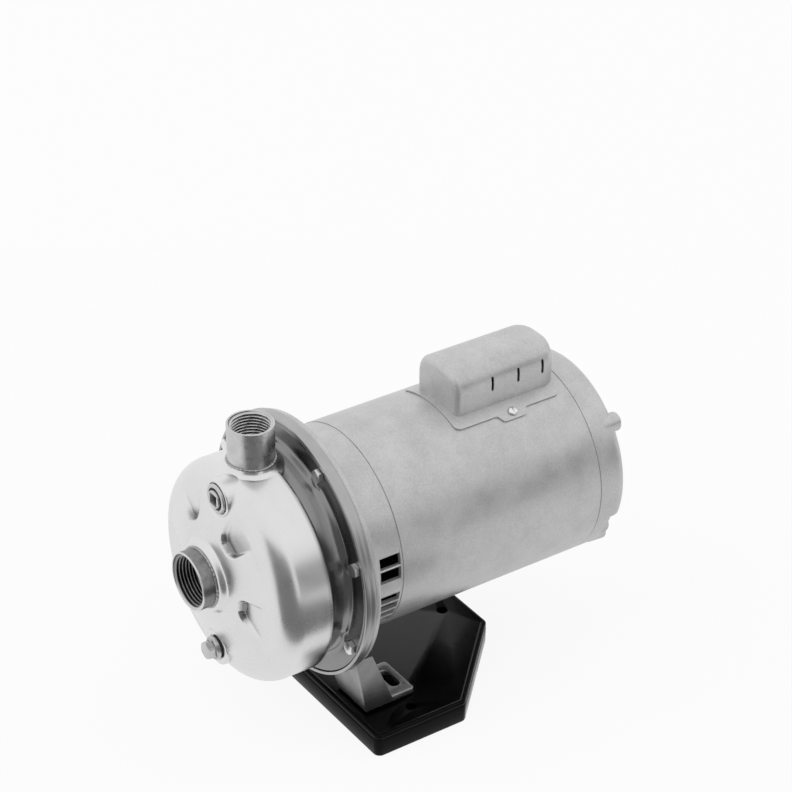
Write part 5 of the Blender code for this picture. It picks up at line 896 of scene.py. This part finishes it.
# painted shade: the thread grooves are coloured near black.
groove = add(tree, "Attribute", {"attribute_name": "painted_shade"}, {})
finish_surface(tree, lay, 0.2, 0.0002, {
    "Base Color": blend(tree, groove.outputs["Fac"], bright, "#141414"), "Metallic": 1.0,
    "Roughness": 0.30})
fit(suction, tinted_stainless, "pump", "suction_coupling", "suction_coupling")
fit(discharge, turned_stainless, "pump", "discharge_coupling", "discharge_coupling")
fit(suction_bead, weld_metal, "pump", "suction_coupling", "suction_coupling")
fit(discharge_bead, weld_metal, "pump", "discharge_coupling", "discharge_coupling")


# The priming plug, with a square socket, and the drain plug, with a hexagon head. Both are
# turned from stainless bar and screwed down on a fibre ring.

PLUG_THREAD = 0.0065
PLUG_SEAL = 0.0012
PLUG_FLANGE_DEPTH = 0.0024


def hexagon(bm, place, flat, low, high, dome):
    """A hexagon head along Y whose corners are turned off in a cone at its high end."""
    loops = []
    sides = 48
    direction = 1.0 if high > low else -1.0
    for share, lift in ((0.0, 0.0), (1.0, 0.0), (1.0, 1.0), (0.90, 1.0), (0.0, 1.0)):
        loop = []
        for step in range(sides):
            angle = math.tau * step / sides
            flat_reach = flat / math.cos((angle % (math.pi / 3.0)) - math.pi / 6.0)
            if share == 0.0:
                radius = 0.0004
            elif share < 1.0:
                radius = flat * 0.93
            else:
                radius = flat_reach
            y = lerp(low, high, lift)
            if share == 1.0 and lift == 1.0:
                y = high - direction * (flat_reach - flat) * 0.55 - direction * dome
            loop.append(bm.verts.new(place @ Vector((radius * math.sin(angle), y, radius * math.cos(angle)))))
        loops.append(loop)
    bridge(bm, loops, cap=True)


# Vulcanised fibre: dull grey-brown paper, pressed dense, with a faint fibrous fleck.
fibre, tree = new_finish("vulcanised_fibre")
fleck = noise(tree, 700.0, 3.0)
finish_surface(tree, fleck, 0.3, 0.0002, {
    "Base Color": blend(tree, fleck, "#2A2624", "#4A4441"), "Roughness": 0.62, "IOR": 1.5})

for number, (name, x, z, pad, seat, skirt, recess) in enumerate(PLUG_BOSSES):
    place = Matrix.Translation((x, 0.0, z))
    plug_back = seat - GAP - PLUG_SEAL - GAP
    plug_front = plug_back - PLUG_FLANGE_DEPTH
    flange = recess - 0.0005
    hub = plug_front - (0.0014 if number == 0 else 0.0)
    bm = bmesh.new()
    turned(bm, rounded([(0.0, hub, 0.0), (0.0072, hub, 0.0005), (0.0076, plug_front + 0.0009, 0.0003),
                        (0.0088, plug_front + 0.0009, 0.0003), (0.0093, plug_front, 0.0003),
                        (flange - 0.0008, plug_front, 0.0006),
                        (flange, plug_front + 0.0010, 0.0005), (flange, plug_back, 0.0003),
                        (PLUG_THREAD, plug_back, 0.0), (PLUG_THREAD, plug_back + 0.0062, 0.0004),
                        (0.0, plug_back + 0.0070, 0.0)]), 64, place, closed=False)
    plug = make_mesh_object(name + "_turned", bm, 35.0, location=SHAFT)
    bm = bmesh.new()
    if number == 0:
        loops = [[bm.verts.new((x + side_x * half, y, z + side_z * half))
                  for side_x, side_z in ((-1.0, -1.0), (1.0, -1.0), (1.0, 1.0), (-1.0, 1.0))]
                 for y, half in ((hub - 0.001, 0.0049), (hub, 0.0047), (plug_front + 0.0055, 0.0043))]
        bridge(bm, loops, cap=True)
        cut(plug, bm, "square_socket", SHAFT)
        soften(plug, 0.0003, 2, 40.0)
        # painted shade: the square socket and the groove round the plug's front are coloured near black.
        painted_shade_layer = plug.data.attributes.new("painted_shade", "FLOAT", "POINT")
        for vertex in plug.data.vertices:
            across = max(abs(vertex.co.x - x), abs(vertex.co.z - z))
            out = math.hypot(vertex.co.x - x, vertex.co.z - z)
            in_socket = across < 0.0048 and vertex.co.y > hub + 0.0004
            in_groove = 0.0074 < out < 0.0090 and vertex.co.y > plug_front + 0.0006
            painted_shade_layer.data[vertex.index].value = 1.0 if in_socket or in_groove else 0.0
    else:
        bm.from_mesh(plug.data)
        hexagon(bm, place, 0.0065, plug_front + 0.0005, plug_front - 0.0066, 0.0002)
        bpy.data.objects.remove(plug)
        plug = make_mesh_object(name + "_turned", bm, 35.0, location=SHAFT)
    fit(plug, turned_stainless, name, name, name)

    bm = bmesh.new()
    turned(bm, rounded([(flange - GAP, seat - GAP, 0.0004),
                        (flange - GAP, seat - GAP - PLUG_SEAL, 0.0004),
                        (PLUG_THREAD + GAP, seat - GAP - PLUG_SEAL, 0.0),
                        (PLUG_THREAD + GAP, seat - GAP, 0.0)]), 64, place)
    ring = make_mesh_object(name + "_fibre_ring", bm, 35.0, location=SHAFT)
    fit(ring, fibre, ("priming_seal", "drain_seal")[number], name + "_seal", name + "_seal")


# The casing bolts: eight bright zinc-plated hexagon bolts that clamp casing, gasket, seal plate
# and adapter to the motor's end bell.

BOLT_RADIUS = 0.0029
BOLT_HEAD_FLAT = 0.0050
BOLT_HEAD = 0.0042
head_back = FLANGE_FRONT - GAP

# Bright zinc plate: smooth and mirror-like, a little cloudy, brighter than the sheet round it.
zinc_plate, tree = new_finish("bright_zinc_plate")
cloud = noise(tree, 400.0, 3.0)
finish_surface(tree, cloud, 0.1, 0.0002, {
    "Base Color": blend(tree, cloud, "#DADADA", "#F6F6F6"), "Metallic": 1.0,
    "Roughness": spread(tree, cloud, 0.24, 0.38)})

for number, angle in enumerate(BOLT_ANGLES, 1):
    bm = bmesh.new()
    place = (Matrix.Translation(polar(BOLT_CIRCLE, angle, 0.0))
             @ Matrix.Rotation(angle + 0.35 * number, 4, "Y"))
    hexagon(bm, place, BOLT_HEAD_FLAT, head_back, head_back - BOLT_HEAD, 0.0001)
    turned(bm, [(0.0, head_back), (BOLT_RADIUS, head_back), (BOLT_RADIUS, 0.0052), (0.0, 0.0052)], 32, place,
           closed=False)
    bolt = make_mesh_object(f"casing_bolt_{number}_plated", bm, 30.0, location=SHAFT)
    fit(bolt, zinc_plate, "pump", f"casing_bolt_{number}", f"casing_bolt_{number}")


# The front end bell: an aluminium casting with a flange behind the dish and a skirt pierced
# by air slots on both sides, each side in an upper pair and a lower group of four.

SHELL_RADIUS = 0.0840
SHELL_WALL = 0.0025
SHELL_FRONT = 0.0407
SHELL_REAR = 0.2310
BELL_RADIUS = 0.0834
BELL_WALL = 0.0038
BELL_FLANGE = 0.0055
BELL_BORE = 0.0125
BEARING_SEAT = 0.0205
VENT_FRONT = 0.0200
VENT_REAR = 0.0386
VENT_SLOTS = [(75.6, 82.4), (83.6, 91.0), (100.6, 106.2), (107.6, 113.2), (114.6, 120.2),
              (121.6, 127.4)]

bm = bmesh.new()
spigot = SHELL_RADIUS - SHELL_WALL - GAP
turned(bm, rounded([(BELL_BORE, 0.0030, 0.0), (BELL_BORE, GAP, 0.0), (BELL_FLANGE_RADIUS, GAP, 0.0014),
                    (BELL_FLANGE_RADIUS, BELL_FLANGE, 0.0014), (BELL_RADIUS + 0.0002, BELL_FLANGE, 0.0022),
                    (BELL_RADIUS, VENT_FRONT - 0.0010, 0.0), (BELL_RADIUS, VENT_FRONT, 0.0003),
                    (BELL_RADIUS - BELL_WALL, VENT_FRONT, 0.0003), (BELL_RADIUS - BELL_WALL, 0.0070, 0.0015),
                    (0.0300, 0.0070, 0.0010), (0.0260, 0.0215, 0.0010), (BEARING_SEAT, 0.0215, 0.0),
                    (BEARING_SEAT, 0.0077, 0.0), (BELL_BORE, 0.0077, 0.0)]), 192)
turned(bm, rounded([(BELL_RADIUS, VENT_REAR, 0.0003), (BELL_RADIUS, SHELL_FRONT - 0.0001, 0.0001),
                    (spigot, SHELL_FRONT - 0.0003, 0.0), (spigot, SHELL_FRONT + 0.0050, 0.0004),
                    (BELL_RADIUS - BELL_WALL - 0.0008, SHELL_FRONT + 0.0050, 0.0004),
                    (BELL_RADIUS - BELL_WALL, VENT_REAR, 0.0003)]), 192)
bell_rings = make_mesh_object("front_bell_rings", bm, 35.0, location=SHAFT)

bm = bmesh.new()
edges = []
for low, high in VENT_SLOTS:
    edges += [math.radians(low), math.radians(high)]
ribs = [(-edges[0], edges[0])]
for number in range(len(VENT_SLOTS) - 1):
    gap_start, gap_end = edges[2 * number + 1], edges[2 * number + 2]
    ribs += [(gap_start, gap_end), (-gap_end, -gap_start)]
ribs.append((edges[-1], math.tau - edges[-1]))
for start, end in ribs:
    steps = max(3, int(abs(end - start) / math.radians(1.9)))
    loops = []
    for step in range(steps + 1):
        angle = lerp(start, end, step / steps)
        tuck = 0.0005 if step in (0, steps) else 0.0
        loops.append([bm.verts.new(polar(radius, angle, y)) for radius, y in
                      ((BELL_RADIUS - tuck, VENT_FRONT - 0.0003), (BELL_RADIUS - tuck, VENT_REAR + 0.0003),
                       (BELL_RADIUS - BELL_WALL, VENT_REAR + 0.0003),
                       (BELL_RADIUS - BELL_WALL, VENT_FRONT - 0.0003))])
    bridge(bm, loops, cap=True)
bell_ribs = make_mesh_object("front_bell_ribs", bm, 35.0, location=SHAFT)

# Silver-grey enamel with fine metal flake: satin, mottled softly where the coat runs thick and
# thin over 10 to 30 mm, with a slight orange peel.
silver_enamel, tree = new_finish("silver_grey_enamel")
mottle = noise(tree, 42.0, 6.0, 0.62)
spark = add(tree, "MixRGB", {"blend_type": "OVERLAY"}, {
    "Fac": 0.40, "Color1": blend(tree, mottle, "#A4A4A4", "#D8D8D8"),
    "Color2": noise(tree, 800.0, 2.0, output="Color")})
grey = add(tree, "HueSaturation", {}, {"Saturation": 0.05, "Color": spark.outputs[0]})
finish_surface(tree, noise(tree, 420.0, 2.0), 0.22, 0.0003, {
    "Base Color": grey.outputs[0], "Metallic": 0.55, "IOR": 1.5,
    "Roughness": spread(tree, mottle, 0.34, 0.46, 0.3, 0.7)})
fit(bell_rings, silver_enamel, "pump", "front_end_bell", "front_end_bell")
fit(bell_ribs, silver_enamel, "pump", "front_end_bell", "front_end_bell")


# The motor shell: steel sheet rolled into a tube, welded under the motor and sprayed silver grey.
# It butts on the front bell; the rear bell sits in it with a thin dark seam.

bm = bmesh.new()
turned(bm, rounded([(SHELL_RADIUS - SHELL_WALL, SHELL_FRONT, 0.0), (SHELL_RADIUS, SHELL_FRONT, 0.0002),
                    (SHELL_RADIUS, 0.0800, 0.0), (SHELL_RADIUS, 0.1350, 0.0), (SHELL_RADIUS, 0.1900, 0.0),
                    (SHELL_RADIUS, SHELL_REAR, 0.0006), (SHELL_RADIUS - SHELL_WALL, SHELL_REAR, 0.0)]), 224)
shell = make_mesh_object("rolled_shell", bm, 40.0, location=SHAFT)
fit(shell, silver_enamel, "pump", "motor_shell", "motor_shell")


# The rear end bell: an aluminium casting like a shallow cup, with four lugs for the through
# bolts. Their heads are zinc-plated hexagons let into the lugs' round ends.

REAR_FACE = 0.2580
REAR_LUG = 0.2620
LUG_CIRCLE = 0.0775
LUG_RADIUS = 0.0080
THROUGH_CIRCLE = 0.0765
THROUGH_RADIUS = 0.0023
THROUGH_FRONT = 0.0110
THROUGH_HEAD_FLAT = 0.0036
THROUGH_HEAD = 0.0030
THROUGH_ANGLES = [math.radians(angle) for angle in (50.0, 140.0, 230.0, 320.0)]

bm = bmesh.new()
turned(bm, rounded([(spigot, SHELL_REAR - 0.0050, 0.0), (spigot, SHELL_REAR + GAP, 0.0),
                    (SHELL_RADIUS, SHELL_REAR + GAP, 0.0006), (SHELL_RADIUS, REAR_FACE, 0.0110),
                    (0.0400, REAR_FACE, 0.0060), (0.0330, REAR_FACE + 0.0015, 0.0040),
                    (0.0, REAR_FACE + 0.0015, 0.0), (0.0, 0.2500, 0.0), (BEARING_SEAT, 0.2500, 0.0),
                    (BEARING_SEAT, 0.2350, 0.0), (0.0255, 0.2350, 0.0010), (0.0255, 0.2530, 0.0),
                    (SHELL_RADIUS - 0.0050, 0.2530, 0.0100),
                    (SHELL_RADIUS - 0.0050, SHELL_REAR - 0.0050, 0.0)], 8), 224, closed=False)
rear_cup = make_mesh_object("rear_bell_cup", bm, 40.0)
for side in (-1.0, 1.0):
    bm = bmesh.new()
    loops = []
    for step in range(6):
        angle = side * math.radians(lerp(107.0, 124.0, step / 5.0))
        loops.append([bm.verts.new(polar(radius, angle, y)) for radius, y in
                      ((0.0730, 0.2450), (0.0900, 0.2450), (0.0900, 0.2700), (0.0730, 0.2700))])
    bridge(bm, loops, cap=True)
    cut(rear_cup, bm, "rim_notch")
for middle in (156.0, 172.0, 188.0, 204.0):
    along = polar(1.0, math.radians(middle), 0.0)
    across = Vector((along.z, 0.0, -along.x))
    outline = round_corners([(0.0400, -0.0030), (0.0640, -0.0042), (0.0640, 0.0042), (0.0400, 0.0030)],
                            0.0018, 4)
    bm = bmesh.new()
    loops = [[bm.verts.new(along * point.x + across * point.y + Vector((0.0, y, 0.0))) for point in outline]
             for y in (0.2480, 0.2700)]
    bridge(bm, loops, cap=True)
    cut(rear_cup, bm, "rear_air_slot")
rear_cup.location = SHAFT
rear_cup.data.shade_smooth()
rear_cup.data.set_sharp_from_angle(angle=math.radians(40.0))
bm = bmesh.new()
for angle in THROUGH_ANGLES:
    place = Matrix.Translation(polar(LUG_CIRCLE, angle, 0.0))
    turned(bm, rounded([(0.0, SHELL_REAR + 0.0060, 0.0), (LUG_RADIUS - 0.0010, SHELL_REAR + 0.0140, 0.0020),
                        (LUG_RADIUS, REAR_LUG, 0.0022), (0.0, REAR_LUG, 0.0)], 5), 48, place, closed=False)
rear_lugs = make_mesh_object("rear_bell_lugs", bm, 40.0, location=SHAFT)
fit(rear_cup, silver_enamel, "pump", "rear_end_bell", "rear_end_bell")
fit(rear_lugs, silver_enamel, "pump", "rear_end_bell", "rear_end_bell")
for number, angle in enumerate(THROUGH_ANGLES, 1):
    bm = bmesh.new()
    place = Matrix.Translation(polar(THROUGH_CIRCLE, angle, 0.0)) @ Matrix.Rotation(0.3 * number, 4, "Y")
    hexagon(bm, place, THROUGH_HEAD_FLAT, REAR_LUG + GAP, REAR_LUG + GAP + THROUGH_HEAD, 0.0001)
    turned(bm, [(0.0, THROUGH_FRONT), (THROUGH_RADIUS, THROUGH_FRONT), (THROUGH_RADIUS, REAR_LUG + GAP),
                (0.0, REAR_LUG + GAP)], 20, place, closed=False)
    bolt = make_mesh_object(f"through_bolt_{number}_plated", bm, 30.0, location=SHAFT)
    fit(bolt, zinc_plate, "pump", f"through_bolt_{number}", f"through_bolt_{number}")


# The capacitor cover: a box drawn from steel sheet with round shoulders and ends, on a saddle
# flange that follows the shell. It has three upright slots on each side and one screw per side.

COVER_SHEET = 0.0012
COVER_FRONT = 0.1215
COVER_REAR = 0.2222
COVER_BODY_FRONT = 0.1275
COVER_BODY_REAR = 0.2265
COVER_HALF = 0.0265
COVER_TOP = 0.1170
COVER_SHOULDER = 0.0165
COVER_END = 0.0055
COVER_REAR_CORNER = 0.0130
COVER_SLOTS = (0.1626, 0.1875, 0.2110)
saddle = SHELL_RADIUS + GAP

bm = bmesh.new()
loops = []
steps = 7
for end, face in ((0, COVER_BODY_FRONT), (1, COVER_BODY_REAR)):
    direction = 1.0 if end == 0 else -1.0
    for step in range(steps + 1):
        turn = math.radians(90.0 * step / steps)
        if end:
            turn = math.radians(90.0) - turn
        corner = COVER_REAR_CORNER if end else COVER_END
        inset = COVER_END * (1.0 - math.sin(turn))
        y = face + direction * corner * (1.0 - math.cos(turn))
        half = COVER_HALF - corner * (1.0 - math.sin(turn))
        top = COVER_TOP - inset
        radius = COVER_SHOULDER - 0.5 * inset - 0.3 * (corner - COVER_END) * (1.0 - math.sin(turn))
        outline = [(-half, 0.0780), (-half, 0.0850), (-half, 0.0925)]
        for corner, start in ((-1.0, 180.0), (1.0, 90.0)):
            centre = corner * (half - radius)
            for part in range(11):
                angle = math.radians(start - 9.0 * part)
                outline.append((centre + radius * math.cos(angle), top - radius + radius * math.sin(angle)))
        outline += [(half, 0.0925), (half, 0.0850), (half, 0.0780)]
        loops.append([bm.verts.new((x, y, z)) for x, z in outline])
for near, far in zip(loops, loops[1:]):
    for step in range(len(near) - 1):
        bm.faces.new((near[step], near[step + 1], far[step + 1], far[step]))
bm.faces.new(loops[0])
bm.faces.new(loops[-1])
cover = make_mesh_object("drawn_cover", bm, 40.0)
modifier = cover.modifiers.new("sheet", "SOLIDIFY")
modifier.thickness = COVER_SHEET
modifier.offset = -1.0
settle(cover)
bm = bmesh.new()
for y in COVER_SLOTS:
    for side in (-1.0, 1.0):
        outline = []
        for centre, start in ((0.1052, 0.0), (0.0953, 180.0)):
            for part in range(9):
                angle = math.radians(start + 22.5 * part)
                outline.append((y + 0.0012 * math.cos(angle), centre + 0.0012 * math.sin(angle)))
        loops = [[bm.verts.new((side * x, a, b)) for a, b in outline] for x in (0.0200, 0.0300)]
        bridge(bm, loops, cap=True)
cut(cover, bm, "cover_slots")
cover.location = SHAFT
cover.data.shade_smooth()
cover.data.set_sharp_from_angle(angle=math.radians(40.0))


def saddle_sheet(bm, outline_steps, inner, outer):
    """A plate that wraps the shell, from its plan as rows of (y, low angle, high angle)."""
    loops = []
    for y, low, high in outline_steps:
        row = []
        for radius, order in ((outer, 1), (inner, -1)):
            angles = [lerp(low, high, step / 28.0) for step in range(29)]
            for angle in angles[::order]:
                row.append(bm.verts.new(polar(radius, angle, y)))
        loops.append(row)
    bridge(bm, loops, cap=True)


bm = bmesh.new()
rows = []
wide = math.radians(25.5)
tab = math.radians(30.0)
corner = 0.0055
for step in range(9):
    turn = math.radians(90.0 * step / 8.0)
    rows.append((COVER_FRONT + corner * (1.0 - math.cos(turn)),
                 wide - corner * (1.0 - math.sin(turn)) / saddle))
for y, half in ((0.1590, wide), (0.1606, wide + 0.008), (0.1618, wide + 0.035), (0.1636, tab - 0.006),
                (0.1660, tab), (0.1820, tab), (0.1844, tab - 0.006), (0.1862, wide + 0.035),
                (0.1874, wide + 0.008), (0.1890, wide)):
    rows.append((y, half))
for step in range(9):
    turn = math.radians(90.0 - 90.0 * step / 8.0)
    rows.append((COVER_REAR - corner * (1.0 - math.cos(turn)),
                 wide - corner * (1.0 - math.sin(turn)) / saddle))
saddle_sheet(bm, [(y, -half, half) for y, half in rows], saddle, saddle + COVER_SHEET)
flange = make_mesh_object("cover_saddle", bm, 40.0, location=SHAFT)
soften(flange, 0.0004, 2, 50.0)
fit(cover, silver_enamel, "pump", "capacitor_cover", "capacitor_cover")
fit(flange, silver_enamel, "pump", "capacitor_cover", "capacitor_cover")

for number, side in enumerate((-1.0, 1.0), 1):
    angle = side * math.radians(25.8)
    outward = polar(1.0, angle, 0.0)
    turn_to = Vector((0.0, 1.0, 0.0)).rotation_difference(outward).to_matrix().to_4x4()
    place = Matrix.Translation(polar(saddle + COVER_SHEET, angle, 0.1745)) @ turn_to
    bm = bmesh.new()
    turned(bm, rounded([(0.0, -0.0013, 0.0), (0.0018, -0.0013, 0.0), (0.0018, 0.0003, 0.0),
                        (0.0040, 0.0003, 0.0003), (0.0038, 0.0017, 0.0010), (0.0020, 0.0025, 0.0008),
                        (0.0, 0.0025, 0.0)], 4), 48, place, closed=False)
    screw = make_mesh_object(f"cover_screw_{number}_plated", bm, 35.0)
    bm = bmesh.new()
    slot = place @ Matrix.Rotation(math.radians(18.0), 4, "Y")
    loops = [[bm.verts.new(slot @ Vector((a * 0.0046, y, b * 0.00055)))
              for a, b in ((-1.0, -1.0), (1.0, -1.0), (1.0, 1.0), (-1.0, 1.0))] for y in (0.0014, 0.0040)]
    bridge(bm, loops, cap=True)
    cut(screw, bm, "screw_slot")
    screw.location = SHAFT
    fit(screw, zinc_plate, "pump", f"cover_screw_{number}", f"cover_screw_{number}")


# The pieces inside keep their solids: impeller, seal, shaft, bearings, rotor, stator, fan,
# switch and capacitor, seen only through the ports and the air slots.

# Each inner finish: what it is, its two tones, how metallic and how rough, and its grain in mm.
INNER_FINISHES = {
    "cast_stainless": ("#8E8E8C", "#B8B8B5", 1.0, 0.40, 1.6),
    "ground_steel": ("#A8A8A8", "#CECECE", 1.0, 0.22, 1.0),
    "laminated_steel": ("#3C3C3E", "#5A5A5C", 1.0, 0.50, 1.2),
    "cast_rotor_aluminium": ("#9A9A98", "#BEBEBB", 1.0, 0.45, 1.8),
    "black_rubber": ("#101010", "#1E1E1E", 0.0, 0.70, 1.2),
    "black_nylon": ("#121213", "#202022", 0.0, 0.48, 1.5),
    "seal_carbon": ("#1C1C1D", "#2B2B2C", 0.0, 0.42, 0.9),
    "seal_ceramic": ("#E2DFD6", "#F0EDE5", 0.0, 0.25, 2.0),
    "bearing_bronze": ("#8A6238", "#B08550", 1.0, 0.38, 1.4),
    "enamelled_copper": ("#6E2E12", "#A24E20", 0.8, 0.38, 0.9),
    "phenolic_board": ("#3A2013", "#56321E", 0.0, 0.50, 1.3),
}
INNER_NODES = {
    "cast_stainless": ["impeller", "impeller_nut", "seal_plate", "eye_support"],
    "ground_steel": ["shaft", "front_bearing_outer", "front_bearing_inner", "front_bearing_balls",
                     "rear_bearing_outer", "rear_bearing_inner", "rear_bearing_balls", "seal_spring",
                     "wave_spring", "governor_plate", "foot_screw_1", "foot_screw_2"],
    "laminated_steel": ["rotor_core", "stator_core"],
    "cast_rotor_aluminium": ["front_end_ring", "rear_end_ring"],
    "black_rubber": ["casing_gasket", "seal_seat_boot", "slinger"],
    "black_nylon": ["cooling_fan", "capacitor"],
    "seal_carbon": ["seal_head"],
    "seal_ceramic": ["seal_seat"],
    "bearing_bronze": ["wear_ring"],
    "enamelled_copper": ["front_winding", "rear_winding"],
    "phenolic_board": ["start_switch", "governor_collar"],
}
for finish, (dark, light, metallic, roughness, grain) in INNER_FINISHES.items():
    material, tree = new_finish(finish)
    texture = noise(tree, 1.0 / (0.001 * grain), 4.0)
    finish_surface(tree, texture, 0.25, 0.0003, {
        "Base Color": blend(tree, texture, dark, light), "Metallic": metallic,
        "Roughness": spread(tree, texture, roughness - 0.06, roughness + 0.06)})
    for node in INNER_NODES[finish]:
        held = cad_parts[node]
        held.data.materials.clear()
        held.data.materials.append(material)
